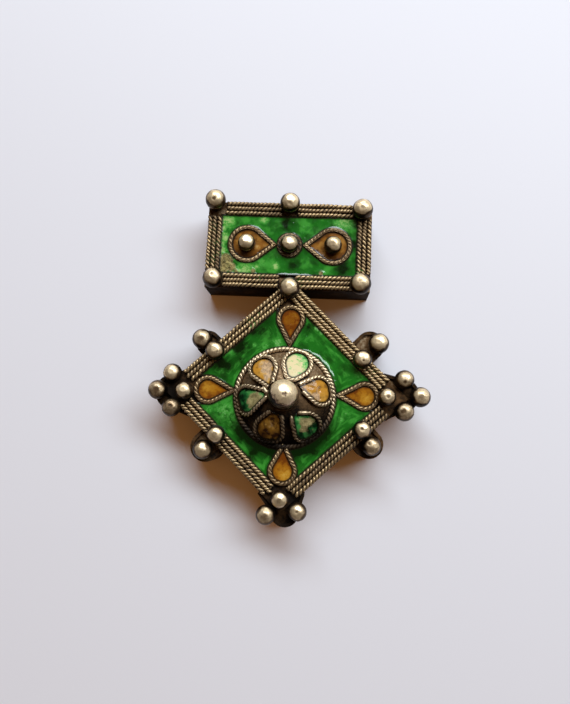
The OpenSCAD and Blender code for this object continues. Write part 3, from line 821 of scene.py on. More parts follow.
def ball_skin(x, y, seat, d, flat, dimple, dark, polish, seed, lean=(0.0, 0.05), wider=0.0):
    """A cast ball as it is worn: a flat on top, facets from handling, and the casting's dimple."""
    dice = np.random.default_rng(BALL_DRAWS + seed)
    r = d / 2 + SKIN
    ways = BALL_POINTS
    radius = r * (1 + BALL_UNEVEN * ripple(ways * r, BALL_SWELL, seed))
    planes = [flat]
    for _ in range(FACETS):
        turn = dice.uniform(0, 2 * math.pi)
        tip = dice.uniform(*FACET_LEAN)
        planes.append((tip * math.cos(turn), tip * math.sin(turn), dice.uniform(*FACET_R)))
    for right, above, disc in planes:
        way = np.array([right, above, 1.0]) / math.sqrt(right * right + above * above + 1.0)
        reach = np.clip(ways @ way, 0.05, None)
        radius = np.minimum(radius, math.sqrt(r * r - disc * disc) / reach + FACET_RISE)
    right, above, spot_r, deep = dimple or (flat[0], flat[1], SPOT_SHARE * flat[2], 0.0)
    place = np.array([right, above, 1.0])
    away = np.linalg.norm(ways - place / np.linalg.norm(place), axis=1) * r
    if dimple:
        away = away * (1 + DIMPLE_UNEVEN * ripple(ways * r, DIMPLE_SWELL, seed + 3))
    radius -= deep * np.exp(-(away / spot_r) ** 2)
    radius += LIP_H * deep * np.exp(-((away - LIP_AT * spot_r) / (LIP_WIDTH * spot_r)) ** 2)
    radius = np.maximum(radius, d / 2 + SKIN_LEAST)
    worn_way = np.array([lean[0] + dice.normal(0, CAP_STRAY), lean[1] + dice.normal(0, CAP_STRAY), 1.0])
    cap = ways @ worn_way / np.linalg.norm(worn_way)
    points = ways * radius[:, None] + np.array([x, y, seat + SEAT_SHARE * d / 2])
    # A thin painted highlight low on the side towards the lower end, standing for the table's reflection
    edge = np.exp(-((ways[:, 2] - RIM_GLINT_AT) / RIM_GLINT_WIDTH) ** 2) * np.clip(-1.5 * ways[:, 1] - 0.3, 0, 1)
    marks = {
        "cap": cap + wider + CAP_UNEVEN * ripple(ways * r, CAP_SWELL, seed + 5) + RIM_GLINT * edge,
        "spot": dark * np.exp(-(away / spot_r) ** 4),
        "polish": np.full(len(points), polish)}
    return points, [BALL_FACES], marks


def upper_balls(material):
    parts = []
    for i, ((x, y, d), *looks) in enumerate(UPPER_BALLS + CELL_BALLS):
        parts.append(ball_skin(UPPER_X + x, UPPER_Y + y, DEPTH, d, *looks, i))
    dress(mesh_piece("upper_balls", join(parts), material))


def lozenge_balls(material):
    parts = []
    for table, seat in ((LOBE_BALLS, LOBE_SEAT), (SIDE_FRAME_BALLS, FRAME_SEAT)):
        for (across, up, along, out, d), *looks in table:
            x, y = on_side(across, up, along, out)
            parts.append(ball_skin(x, y, seat, d, *looks, LOZENGE_BALL_DRAWS + len(parts)))
    for table, seat in ((CORNER_BALLS, LOBE_SEAT), (CORNER_FRAME_BALLS, DEPTH)):
        for (x, y, d), *looks in table:
            draws = LOZENGE_BALL_DRAWS + len(parts)
            parts.append(ball_skin(CENTRE_X + x, CENTRE_Y + y, seat, d, *looks, draws))
    dress(mesh_piece("lozenge_balls", join(parts), material))


def top_ball(material):
    seat = DEPTH + DOME_H + (TOP_BALL_SHARE - SEAT_SHARE) * TOP_BALL_D / 2
    form = ball_skin(
        CENTRE_X, BOSS_Y + TOP_BALL_SHIFT, seat, TOP_BALL_D, *TOP_BALL_LOOKS, TOP_BALL_DRAWS,
        lean=(0.1, 0.42), wider=0.17)
    dress(mesh_piece("top_ball", form, material))


def lay(parts, path, wire_r, draws, worn=1.0, closed=False):
    """Adds a wire on the face plate to the parts. Each takes the next number for its draws."""
    parts.append(twisted_wire(path, upright(path), wire_r, closed, draws + len(parts), worn))


def wires_piece(name, parts, residue, x, y, material):
    """One piece of many wires, with the green that is left in their grooves."""
    points, faces, marks = join(parts)
    marks["residue"] = stain(points, residue, x, y)
    dress(mesh_piece(name, (points, faces, marks), material))


def upper_wires(material):
    parts = []
    dice = np.random.default_rng(UPPER_LENGTH_DRAWS)
    z = DEPTH + WIRE_LIFT
    for k in range(ROWS):
        x = UPPER_W / 2 - (k + 0.5) * ROW_PITCH
        y = UPPER_H / 2 - (k + 0.5) * ROW_PITCH
        for s in (-1, 1):
            low, high = dice.uniform(0, UPPER_LONGER, 2)
            path = straight(
                UPPER_X + s * x, UPPER_Y + UPPER_END_GAP - UPPER_H / 2 - low,
                UPPER_X + s * x, UPPER_Y + UPPER_H / 2 - UPPER_END_GAP + high, z, len(parts))
            lay(parts, path, ROW_WIRE_R, UPPER_DRAWS, UPRIGHT_WORN)
            for t in (-1, 1):
                reach = UPPER_W / 2 - UPPER_SIDE_GAP + dice.uniform(0, UPPER_LONGER)
                path = straight(
                    UPPER_X + t * (UPPER_MIDDLE_GAP - UPPER_BALL_TUCK), UPPER_Y + s * y,
                    UPPER_X + t * reach, UPPER_Y + s * y, z, len(parts))
                worn = LEVEL_WORN - LOWER_MORE * s + RIGHT_MORE * t
                lay(parts, path, ROW_WIRE_R, UPPER_DRAWS, worn)
    for i, degrees in UPPER_DROPS.values():
        path = teardrop_path(UPPER_DROP_R, UPPER_DROP_TIP, *cell_at(i), degrees, z)
        lay(parts, path, RIM_WIRE_R, UPPER_DRAWS, UPPER_DROP_WORN)
    ring = laid_flat(circle(*cell_at(MIDDLE_CELL), MIDDLE_RING_R), z)
    lay(parts, ring, RIM_WIRE_R, UPPER_DRAWS, MIDDLE_RING_WORN, closed=True)
    wires_piece("upper_wires", parts, UPPER_RESIDUE, UPPER_X, UPPER_Y, material)


def lozenge_wires(material):
    parts = []
    dice = np.random.default_rng(LOZENGE_LENGTH_DRAWS)
    z = DEPTH + WIRE_LIFT
    for k in range(ROWS):
        inset = (k + 0.5) * ROW_PITCH
        apex = CENTRE_Y + LOZENGE_H / 2 - inset / math.cos(SIDE)
        top = min(apex, CENTRE_Y + UPPER_BOTTOM - APEX_CLEAR)
        top_x = (apex - top) * LOZENGE_W / LOZENGE_H
        for s in (-1, 1):
            start = on_side(s, 1, CORNER_GAP - dice.uniform(0, CORNER_LONGER), -inset)
            path = straight(*start, CENTRE_X + s * top_x, top, z, LOZENGE_DRAWS + len(parts))
            lay(parts, path, ROW_WIRE_R, LOZENGE_DRAWS, TOP_SIDES_WORN + TOP_RIGHT_MORE * s)
            start = on_side(s, -1, CORNER_GAP - dice.uniform(0, CORNER_LONGER), -inset)
            end = on_side(s, -1, SIDE_LENGTH - BOTTOM_GAP + dice.uniform(*BOTTOM_LONGER), -inset)
            path = straight(*start, *end, z, LOZENGE_DRAWS + len(parts))
            lay(parts, path, ROW_WIRE_R, LOZENGE_DRAWS, LOW_SIDES_WORN - LOW_LEFT_MORE * s)
    for x, y, degrees in LOZENGE_DROPS.values():
        path = teardrop_path(LOZENGE_DROP_R, LOZENGE_DROP_TIP, CENTRE_X + x, CENTRE_Y + y, degrees, z)
        lay(parts, path, RIM_WIRE_R, LOZENGE_DRAWS, LOZENGE_DROP_WORN)
    wires_piece("lozenge_wires", parts, LOZENGE_RESIDUE, CENTRE_X, CENTRE_Y, material)


def boss_wires(material):
    parts = []
    ring = laid_flat(circle(CENTRE_X, BOSS_Y, DOME_RIM_R), DEPTH + RING_LIFT)
    lay(parts, ring, RING_WIRE_R, BOSS_DRAWS, closed=True)
    for corners, (opening, melted) in zip(PETALS, PETAL_ENDS):
        outline = even_loop(petal(corners, grow=0), step=0.12)
        away = np.hypot(outline[:, 0], outline[:, 1])
        outline = np.roll(outline, -int(away.argmin()), axis=0)
        outline = outline[np.hypot(outline[:, 0], outline[:, 1]) > opening]
        path, ups = over_dome(outline, WIRE_LIFT)
        parts.append(twisted_wire(path, ups, RIM_WIRE_R, not opening, BOSS_DRAWS + len(parts)))
        if melted:
            for end, inner in ((0, 3), (-1, -4)):
                way = path[end] - path[inner]
                rod_r = RIM_WIRE_R * MELTED_SHARE
                parts.append(smooth_end(path[end], way, ups[end], melted, rod_r, len(parts)))
    points, faces, marks = join(parts)
    # Painted light and shade: the dome's wires are lighter towards its upper side and duller near its base
    # ring, and the lower side of the base ring is darker
    right, above = points[:, 0] - CENTRE_X, points[:, 1] - BOSS_Y
    toward = (right * 0.05 + above) / BOSS_R
    away = np.hypot(right, above) / BOSS_R
    near_ring = np.clip(away - 0.85, 0, 0.1) / 0.1
    lit_share = np.clip(0.5 + PAINTED_LIGHT_SLOPE * toward - DULL_AT_RING * near_ring, 0, 1)
    on_ring = np.clip((away - 0.88) / 0.04, 0, 1)
    shade_below = np.clip(-PAINTED_LIGHT_SLOPE * toward, 0, DARKEST_BELOW)
    marks["crest"] = marks["crest"] * (0.5 + 0.5 * lit_share) * (1 - on_ring * shade_below)
    marks["residue"] = np.zeros(len(points))
    dress(mesh_piece("boss_wires", (points, faces, marks), material))


def pour_upper(green, yellow):
    half_w = UPPER_W / 2 - BAND + UNDER_WIRE
    half_h = UPPER_H / 2 - BAND + UNDER_WIRE
    corners = ((-1, -1), (1, -1), (1, 1), (-1, 1))
    outline = [(UPPER_X + s * half_w, UPPER_Y + t * half_h) for s, t in corners]
    tip_share = UPPER_DROP_TIP / UPPER_DROP_R
    holes, fills = [], {}
    for name, (i, degrees) in UPPER_DROPS.items():
        hole_r = UPPER_DROP_R + RIM_TO_EDGE
        fill_r = UPPER_DROP_R - RIM_TO_EDGE
        holes.append(teardrop(hole_r, hole_r * tip_share, *cell_at(i), degrees))
        fills[name] = teardrop(fill_r, fill_r * tip_share, *cell_at(i), degrees)
    holes.append(circle(*cell_at(MIDDLE_CELL), MIDDLE_RING_R + RIM_TO_EDGE))
    origin = (UPPER_X, UPPER_Y)
    flat_enamel("upper_field_sheet", "upper_field_enamel", green, outline, holes,
                UPPER_FIELD_DRAWS, (UPPER_PALE, UPPER_DEEP_AND_SHADE, UPPER_CRUST, UPPER_POOLS), origin)
    for name, fill in fills.items():
        flat_enamel(f"upper_drop_{name}_sheet", f"upper_drop_{name}_enamel", yellow,
                    fill, [], UPPER_DROP_DRAWS[name], (UPPER_DROP_PALE, UPPER_DROP_DEEP_AND_SHADE, [], []),
                    origin, step=0.13)


def panel_outline(across, up):
    """Outline of a green panel, from one cell's axis to the next, between the wires and the boss."""
    cell_steps = 12
    boss_steps = 60
    inset = BAND - UNDER_WIRE
    half_w = LOZENGE_W / 2 - inset / math.sin(SIDE)
    half_h = LOZENGE_H / 2 - inset / math.cos(SIDE)
    drop_r = LOZENGE_DROP_R + RIM_TO_EDGE
    drop_tip = LOZENGE_DROP_TIP * drop_r / LOZENGE_DROP_R
    boss_r = BOSS_R - UNDER_WIRE
    turns = np.linspace(0, math.pi / 2 - math.acos(drop_r / drop_tip), cell_steps)
    # Along the upright cell from the frame to the boss
    x, y = LOZENGE_DROPS["top" if up > 0 else "bottom"][:2]
    far = x + across * drop_r
    outline = [(far, up * (half_h - abs(far) * half_h / half_w))]
    for turn in turns:
        outline.append((x + across * drop_r * math.cos(turn), y - up * drop_r * math.sin(turn)))
    leaves = meets_boss(outline[-1], (x, y - up * drop_tip), boss_r)
    outline.append(leaves)
    # Along the level cell, from the frame
    x, y = LOZENGE_DROPS["right" if across > 0 else "left"][:2]
    beside = []
    for turn in turns:
        beside.append((x - across * drop_r * math.sin(turn), y + up * drop_r * math.cos(turn)))
    joins = meets_boss(beside[-1], (x - across * drop_tip, y), boss_r)
    # Round the boss, from the upright cell to the level one
    start = math.atan2(leaves[1] + BOSS_DROP, leaves[0])
    end = math.atan2(joins[1] + BOSS_DROP, joins[0])
    if across * up > 0 and end > start:
        end -= 2 * math.pi
    if across * up < 0 and end < start:
        end += 2 * math.pi
    for i in range(1, boss_steps):
        turn = start + (end - start) * i / boss_steps
        outline.append((boss_r * math.cos(turn), boss_r * math.sin(turn) - BOSS_DROP))
    outline.append(joins)
    outline += beside[::-1]
    far = y + up * drop_r
    outline.append((across * (half_w - abs(far) * half_w / half_h), far))
    return [(CENTRE_X + px, CENTRE_Y + py) for px, py in outline]


def meets_boss(a, b, r):
    """Where the way from a to b comes within r of the boss's axis."""
    steps = 400
    for i in range(steps + 1):
        share = i / steps
        x = a[0] + (b[0] - a[0]) * share
        y = a[1] + (b[1] - a[1]) * share
        if math.hypot(x, y + BOSS_DROP) <= r:
            return x, y
    return b


def pour_lozenge(lozenge_green, orange):
    origin = (CENTRE_X, CENTRE_Y)
    for number, (across, up) in enumerate(((1, 1), (-1, 1), (-1, -1), (1, -1)), 1):
        flat_enamel(f"lozenge_sheet_{number}", f"lozenge_enamel_{number}", lozenge_green,
                    panel_outline(across, up), [], PANEL_DRAWS + number,
                    (LOZENGE_PALE, LOZENGE_DEEP_AND_SHADE, [], LOZENGE_POOLS), origin, step=0.14, flow=4.0)
    shrunk_r = LOZENGE_DROP_R - RIM_WIRE_R + UNDER_WIRE
    shrunk_tip = LOZENGE_DROP_TIP * shrunk_r / LOZENGE_DROP_R
    for i, (name, (x, y, degrees)) in enumerate(LOZENGE_DROPS.items()):
        outline = teardrop(shrunk_r, shrunk_tip, CENTRE_X + x, CENTRE_Y + y, degrees)
        flat_enamel(f"drop_{name}_sheet", f"drop_{name}_enamel", orange, outline, [],
                    DROP_DRAWS + i, (DROP_PALE, DROP_DEEP, [], []), origin, step=0.12)


def pour_petals(yellow, green):
    """The petals' fills, yellow and green in turn."""
    for number in range(1, len(PETALS) + 1):
        slot, material = ("yellow_enamel", yellow) if number % 2 else ("petal_green_enamel", green)
        petal_enamel(number, material, PETAL_DRAWS + 5 * number)


def add(tree, kind, inputs=None, **settings):
    """A node with its settings and inputs. An input is a value or another node's output."""
    node = tree.nodes.new(kind)
    for key, value in settings.items():
        setattr(node, key, value)
    for key, value in (inputs or {}).items():
        if isinstance(value, bpy.types.NodeSocket):
            tree.links.new(value, node.inputs[key])
        else:
            node.inputs[key].default_value = value
    return node


def maths(tree, operation, a, b=0.0, clamp=False):
    return add(tree, "ShaderNodeMath", {0: a, 1: b}, operation=operation, use_clamp=clamp).outputs[0]


def plus(tree, a, b, clamp=False):
    return maths(tree, "ADD", a, b, clamp)


def minus(tree, a, b, clamp=False):
    return maths(tree, "SUBTRACT", a, b, clamp)


def times(tree, a, b):
    return maths(tree, "MULTIPLY", a, b)


def greater(tree, a, b):
    return maths(tree, "MAXIMUM", a, b)


def swing(tree, value, reach):
    """A value of 0 to 1 made to swing round 0, over some reach."""
    return times(tree, minus(tree, value, 0.5), reach)


def blend(tree, share, a, b):
    """A colour between two others."""
    return add(tree, "ShaderNodeMix", {0: share, 6: a, 7: b}, data_type="RGBA").outputs[2]


def soft_step(tree, value, low, high, start=0.0, end=1.0):
    """Values from start to end as the value runs from low to high."""
    return add(tree, "ShaderNodeMapRange",
               {"Value": value, "From Min": low, "From Max": high, "To Min": start, "To Max": end},
               interpolation_type="SMOOTHSTEP").outputs[0]


def object_place(tree):
    """The place on the object, in metres."""
    return tree.nodes.new("ShaderNodeTexCoord").outputs["Object"]


def part_of(tree, vector, axis):
    """The part of a vector along X, Y or Z."""
    return add(tree, "ShaderNodeSeparateXYZ", {0: vector}).outputs[axis]


def noise(tree, vector, scale, detail):
    return add(tree, "ShaderNodeTexNoise", {"Vector": vector, "Scale": scale, "Detail": detail}).outputs[0]


def mottle(tree, place, size, seed, detail=3.0):
    """Cloudy values of about 0 to 1, with features of some size in millimetres."""
    moved = add(tree, "ShaderNodeVectorMath", {0: place, 1: (seed * 0.01, seed * 0.013, 0)}, operation="ADD")
    return noise(tree, moved.outputs[0], 1 / (size * MM), detail)


def new_group(name, inputs, outputs):
    """A shader node group with named inputs and outputs: its tree, what it is given, its end, its place."""
    tree = bpy.data.node_groups.new(name, "ShaderNodeTree")
    for label, value in inputs:
        colour = isinstance(value, tuple)
        socket = tree.interface.new_socket(
            label, in_out="INPUT", socket_type="NodeSocketColor" if colour else "NodeSocketFloat")
        socket.default_value = (*value, 1.0) if colour else value
    for label in outputs:
        kind = "NodeSocketColor" if label == "Color" else "NodeSocketFloat"
        tree.interface.new_socket(label, in_out="OUTPUT", socket_type=kind)
    given = tree.nodes.new("NodeGroupInput").outputs
    return tree, given, tree.nodes.new("NodeGroupOutput"), object_place(tree)


def put_out(tree, end, values):
    """Links the values that a group puts out, by their names."""
    for label, value in values.items():
        tree.links.new(value, end.inputs[label])


def old_silver_group():
    """Old silver: dark oxide, brown tarnish over it, and bright worn metal where Wear is high."""
    tree, given, end, place = new_group(
        "old_silver",
        [("Wear", 0.5), ("Oxide", (0.014, 0.009, 0.006)), ("Tarnish", (0.19, 0.112, 0.053)),
         ("Bright", (0.80, 0.66, 0.43)), ("Grain", 1.0), ("Dull", 0.62), ("Polished", 0.40)],
        ["Color", "Roughness", "Height", "Bare"])
    broad = mottle(tree, place, 2.4, 3, 4.0)
    fine = mottle(tree, place, 0.35, 5, 4.0)
    grit = mottle(tree, place, 0.09, 9, 2.0)
    uneven = plus(tree, swing(tree, broad, 0.55), swing(tree, fine, 0.5))
    wear = plus(tree, given["Wear"], times(tree, uneven, given["Grain"]))
    tarnished = soft_step(tree, wear, 0.08, 0.5)
    bare = soft_step(tree, wear, 0.4, 0.85)
    colour = blend(tree, tarnished, given["Oxide"], given["Tarnish"])
    colour = blend(tree, bare, colour, given["Bright"])
    dulled = soft_step(tree, broad, 0.35, 0.75, 0.0, 0.35)
    colour = blend(tree, dulled, colour, given["Tarnish"])
    rough = soft_step(tree, wear, 0.1, 0.9, given["Dull"], given["Polished"])
    rough = plus(tree, rough, swing(tree, grit, 0.25))
    height = plus(tree, times(tree, fine, 0.6), times(tree, grit, 0.4))
    put_out(tree, end, {"Color": colour, "Roughness": rough, "Height": height, "Bare": bare})
    return tree


def scratches_group():
    """Fine scratches in two ways across the surface."""
    tree, given, end, place = new_group("scratches", [("Strength", 0.5)], ["Mask"])
    stretch = (60.0, 2600.0, 900.0)
    masks = []
    for turn, seed in ((0.6, 2), (2.1, 6)):
        turned = add(tree, "ShaderNodeMapping", {"Vector": place, "Rotation": (0.3, 0.2, turn)}).outputs[0]
        drawn = add(tree, "ShaderNodeMapping", {"Vector": turned, "Scale": stretch}).outputs[0]
        lines = soft_step(tree, noise(tree, drawn, 1.0, 1.0), 0.64, 0.72)
        masks.append(times(tree, lines, soft_step(tree, mottle(tree, place, 1.6, seed, 1.0), 0.45, 0.6)))
    put_out(tree, end, {"Mask": times(tree, greater(tree, *masks), given["Strength"])})
    return tree


def enamel_group():
    """Poured enamel: cloudy, deep and light by turns, pale where it is thin, bare where it has gone."""
    tree, given, end, place = new_group(
        "poured_enamel",
        [("Main", (0.011, 0.155, 0.010)), ("Deep", (0.0008, 0.014, 0.001)), ("Light", (0.055, 0.33, 0.035)),
         ("Thin", (0.38, 0.56, 0.16)), ("Ground", (0.40, 0.29, 0.10)), ("Crust", (0.05, 0.032, 0.012)),
         ("Pale", 0.0), ("Dark", 0.0), ("Worn", 0.0), ("Edge", 1.0), ("Flow", 1.0), ("Pool", 0.0),
         ("Clouds", 2.0), ("Rim", 0.0)],
        ["Color", "Roughness", "Height", "Glassy"])
    clouds = noise(tree, place, maths(tree, "DIVIDE", 1 / MM, given["Clouds"]), 4.0)
    wisps = mottle(tree, place, 0.7, 4, 4.0)
    specks = mottle(tree, place, 0.22, 8, 2.0)
    # Strokes follow the edges, as the enamel flowed
    flow = add(tree, "ShaderNodeCombineXYZ", {
        "X": part_of(tree, place, "X"), "Y": part_of(tree, place, "Y"), "Z": times(tree, given["Flow"], MM)})
    strokes = mottle(tree, flow.outputs[0], 2.6, 12, 3.0)
    # Main colour, deeper in clouds, in dark places and along the rim, and lighter in strokes and specks. Dark
    # places include painted shadows, and the rim's darkening is partly painted shade of its wire
    depth = plus(tree, given["Dark"], soft_step(tree, clouds, 0.44, 0.7, 0.0, 0.6), True)
    rim = times(tree, soft_step(tree, given["Edge"], 0.1, 0.9, 1.0, 0.0), given["Rim"])
    depth = plus(tree, depth, rim, True)
    colour = blend(tree, depth, given["Main"], given["Deep"])
    light = soft_step(tree, strokes, 0.48, 0.68, 0.0, 0.85)
    light = plus(tree, light, soft_step(tree, specks, 0.62, 0.8, 0.0, 0.3))
    colour = blend(tree, times(tree, light, minus(tree, 1.0, depth)), colour, given["Light"])
    # Thin places
    patch = times(tree, given["Pale"], soft_step(tree, wisps, 0.28, 0.6, 0.3, 1.25))
    colour = blend(tree, soft_step(tree, patch, 0.0, 0.4), colour, given["Light"])
    patch = plus(tree, patch, swing(tree, specks, 1.2))
    colour = blend(tree, soft_step(tree, patch, 0.2, 1.1, 0.0, 0.95), colour, given["Thin"])
    # Where it has gone, the ground under it shows, with a crust in its hollows
    patchy = minus(tree, wisps, 0.5)
    gone = soft_step(tree, plus(tree, given["Worn"], patchy), 0.28, 0.68)
    crusted = soft_step(tree, plus(tree, specks, patchy), 0.36, 0.68, 0.0, 0.85)
    ground = blend(tree, crusted, given["Ground"], given["Crust"])
    colour = blend(tree, times(tree, gone, 0.9), colour, ground)
    # Grime and painted contact shade against the wires
    grime_and_shade = soft_step(tree, given["Edge"], 0.03, 0.4, 1.0, 0.0)
    grime_and_shade = times(tree, grime_and_shade, soft_step(tree, wisps, 0.2, 0.5, 0.45, 1.0))
    colour = blend(tree, grime_and_shade, colour, (*GRIME_AND_SHADE, 1.0))
    rough = plus(tree, 0.14, times(tree, gone, 0.66))
    rough = plus(tree, rough, times(tree, given["Pale"], 0.2))
    rough = plus(tree, rough, soft_step(tree, wisps, 0.4, 0.8, 0.0, 0.12))
    height = plus(tree, times(tree, wisps, 0.6), times(tree, specks, 0.4))
    height = times(tree, height, soft_step(tree, given["Pool"], 0.1, 0.6, 1.0, 0.0))
    dull = greater(tree, gone, times(tree, given["Pale"], 0.75))
    dull = greater(tree, dull, times(tree, given["Dark"], 0.8))
    dull = greater(tree, dull, times(tree, grime_and_shade, 0.6))
    glassy = minus(tree, 1.0, dull, True)
    put_out(tree, end, {"Color": colour, "Roughness": rough, "Height": height, "Glassy": glassy})
    return tree


def start_material(name):
    made = bpy.data.materials.new(name)
    made.use_nodes = True
    return made, made.node_tree, made.node_tree.nodes["Principled BSDF"]


def mark_of(tree, name):
    """The values that a mesh attribute holds."""
    return add(tree, "ShaderNodeAttribute", attribute_type="GEOMETRY", attribute_name=name).outputs["Fac"]


def use_group(tree, group, inputs):
    """A shader node group in a material. Colours are given by their three parts."""
    full = {key: (*value, 1.0) if isinstance(value, tuple) else value for key, value in inputs.items()}
    return add(tree, "ShaderNodeGroup", full, node_tree=group).outputs


def bump(tree, shader, height, strength, depth):
    """Small relief over a surface, with its depth in millimetres."""
    bumped = add(tree, "ShaderNodeBump", {"Strength": strength, "Distance": depth * MM, "Height": height})
    tree.links.new(bumped.outputs[0], shader.inputs["Normal"])


def silver(name, groups, wear, tones=None, relief=0.25, dirt=None, dull=0.85, sheen=0.95, polish=0.0):
    """An old silver material. wear is a function that gives the Wear input, polish a clear hard gloss."""
    made, tree, shader = start_material(name)
    metal = use_group(tree, groups["old_silver"], {"Wear": wear(tree), **(tones or {})})
    scratched = use_group(tree, groups["scratches"], {"Strength": 0.8})["Mask"]
    colour = metal["Color"]
    metallic = soft_step(tree, metal["Bare"], 0.0, 0.7, dull, sheen)
    if dirt:
        colour, metallic = dirt(tree, colour, metallic)
    tree.links.new(colour, shader.inputs["Base Color"])
    tree.links.new(metallic, shader.inputs["Metallic"])
    rough = plus(tree, metal["Roughness"], times(tree, scratched, 0.15))
    tree.links.new(rough, shader.inputs["Roughness"])
    bump(tree, shader, minus(tree, metal["Height"], times(tree, scratched, 0.5)), relief, 0.04)
    if polish:
        tree.links.new(times(tree, metal["Bare"], polish), shader.inputs["Coat Weight"])
        shader.inputs["Coat Roughness"].default_value = 0.16
        shader.inputs["Coat IOR"].default_value = 1.7
    return made


def open_share(tree, reach):
    """How open the surface is, from 0 in a corner to 1 in the open."""
    return add(tree, "ShaderNodeAmbientOcclusion", {"Distance": reach * MM}, samples=8).outputs["AO"]


def facing_up(tree):
    """How much the surface faces up, from 0 on the walls to 1 on the plates."""
    normal = tree.nodes.new("ShaderNodeNewGeometry").outputs["Normal"]
    return soft_step(tree, part_of(tree, normal, "Z"), 0.2, 0.9)


def corner_shade(tree):
    """Painted shade between the corner balls of the lozenge: less wear there than elsewhere."""
    place = object_place(tree)
    share = 1.0
    for x, y, left in SHADED_CORNERS:
        corner = ((CENTRE_X + x) * MM, (CENTRE_Y + y) * MM, DEPTH * MM)
        away = add(tree, "ShaderNodeVectorMath", {0: place, 1: corner}, operation="DISTANCE").outputs["Value"]
        share = times(tree, soft_step(tree, away, SHADE_FROM * MM, SHADE_TO * MM, left, 1.0), share)
    return share


def plate_wear(tree):
    """Open plates are worn brown. The walls (partly painted shade), the strips round the lobes and the
    corners between the balls (painted shade) stay dark.
    """
    open_part = soft_step(tree, open_share(tree, PLATE_REACH), 0.08, 0.7)
    # Walls get little wear, which keeps them dark: partly oxide, partly painted shade
    flat_part = soft_step(tree, facing_up(tree), 0.0, 1.0, 0.04, 0.5)
    off_strip = maths(tree, "ABSOLUTE", minus(tree, part_of(tree, object_place(tree), "Z"), LOBE_TOP * MM))
    off_strip = soft_step(tree, off_strip, 0.05 * MM, 0.2 * MM, 0.45, 1.0)
    flat_part = times(tree, flat_part, off_strip)
    return times(tree, times(tree, open_part, flat_part), corner_shade(tree))


def boss_wear_and_shade(tree):
    """The dome is worn where it is open, and painted lighter towards its upper side and darker towards its
    lower side as painted shade.
    """
    above = part_of(tree, object_place(tree), "Y")
    share = soft_step(tree, above, (BOSS_Y - 7) * MM, (BOSS_Y + 6) * MM, 0.12, 0.52)
    return times(tree, soft_step(tree, open_share(tree, PLATE_REACH), 0.15, 0.85), share)


def wire_wear(tree):
    """A wire is worn on its crests, and less where it lies deep."""
    share = soft_step(tree, open_share(tree, WIRE_REACH), 0.2, 0.8, 0.45, 1.0)
    return times(tree, soft_step(tree, mark_of(tree, "crest"), 0.08, 0.95, 0.04, 1.05), share)


def ball_wear(tree):
    """A ball is worn on its upper part, round a dimple that stays dark."""
    cap = soft_step(tree, mark_of(tree, "cap"), 0.44, 0.8, 0.02, 1.0)
    cap = times(tree, cap, mark_of(tree, "polish"))
    return minus(tree, cap, times(tree, mark_of(tree, "spot"), 0.6))


def green_dirt(tree, colour, metallic):
    """Green enamel left between the wires."""
    low = soft_step(tree, mark_of(tree, "crest"), 0.15, 0.75, 1.0, 0.0)
    share = times(tree, mark_of(tree, "residue"), low)
    patchy = mottle(tree, object_place(tree), 0.5, 3)
    share = soft_step(tree, times(tree, share, patchy), 0.08, 0.25)
    metallic = times(tree, metallic, minus(tree, 1.0, share))
    return blend(tree, share, colour, (*RESIDUE_GREEN, 1.0)), metallic


def enamel(name, groups, tones, clouds, coat=0.6, relief=0.3, shine=0.35):
    """A material of poured enamel in some tones."""
    made, tree, shader = start_material(name)
    marks = {"Pale": "pale", "Dark": "deep", "Worn": "worn", "Edge": "edge", "Flow": "flow", "Pool": "pool"}
    inputs = {label: mark_of(tree, mark) for label, mark in marks.items()}
    glass = use_group(tree, groups["poured_enamel"], {**inputs, **tones, "Clouds": clouds})
    tree.links.new(glass["Color"], shader.inputs["Base Color"])
    tree.links.new(glass["Roughness"], shader.inputs["Roughness"])
    bump(tree, shader, glass["Height"], relief, 0.05)
    tree.links.new(times(tree, glass["Glassy"], coat), shader.inputs["Coat Weight"])
    shader.inputs["Coat Roughness"].default_value = 0.1
    shader.inputs["Specular IOR Level"].default_value = shine
    return made


def add_camera():
    """The photograph's view: close above the face, tipped a little from below and from the right."""
    data = bpy.data.cameras.new("camera")
    camera = bpy.data.objects.new("camera", data)
    bpy.context.scene.collection.objects.link(camera)
    data.sensor_width = 36.0
    data.lens = LENS
    data.clip_start = 0.001
    right, above, height = CAMERA_PLACE
    camera.location = Vector((CENTRE_X + right, BOSS_Y + above, height)) * MM
    camera.rotation_euler = CAMERA_TURNS
    bpy.context.scene.camera = camera


def add_floor():
    """A white table with a painted warm glow standing for light thrown back onto it, dimmer close round the
    pendant as painted shade.
    """
    made, tree, shader = start_material("table_white")
    shader.inputs["Base Color"].default_value = (0.70, 0.745, 0.79, 1)
    # Painted warm fill light: the table glows, less where the pendant closes it in, as painted shade
    shader.inputs["Emission Color"].default_value = (1.0, 0.36, 0.06, 1)
    glow = soft_step(tree, open_share(tree, 10.0), 0.2, 0.9, 0.07, 0.12)
    tree.links.new(glow, shader.inputs["Emission Strength"])
    shader.inputs["Roughness"].default_value = 0.55
    shader.inputs["Specular IOR Level"].default_value = 0.2
    corners = FLOOR_REACH * np.array([(-1, -1, 0), (1, -1, 0), (1, 1, 0), (-1, 1, 0)])
    floor = mesh_piece("table", (corners, [np.array([[0, 1, 2, 3]])], {}), made, smooth=False)


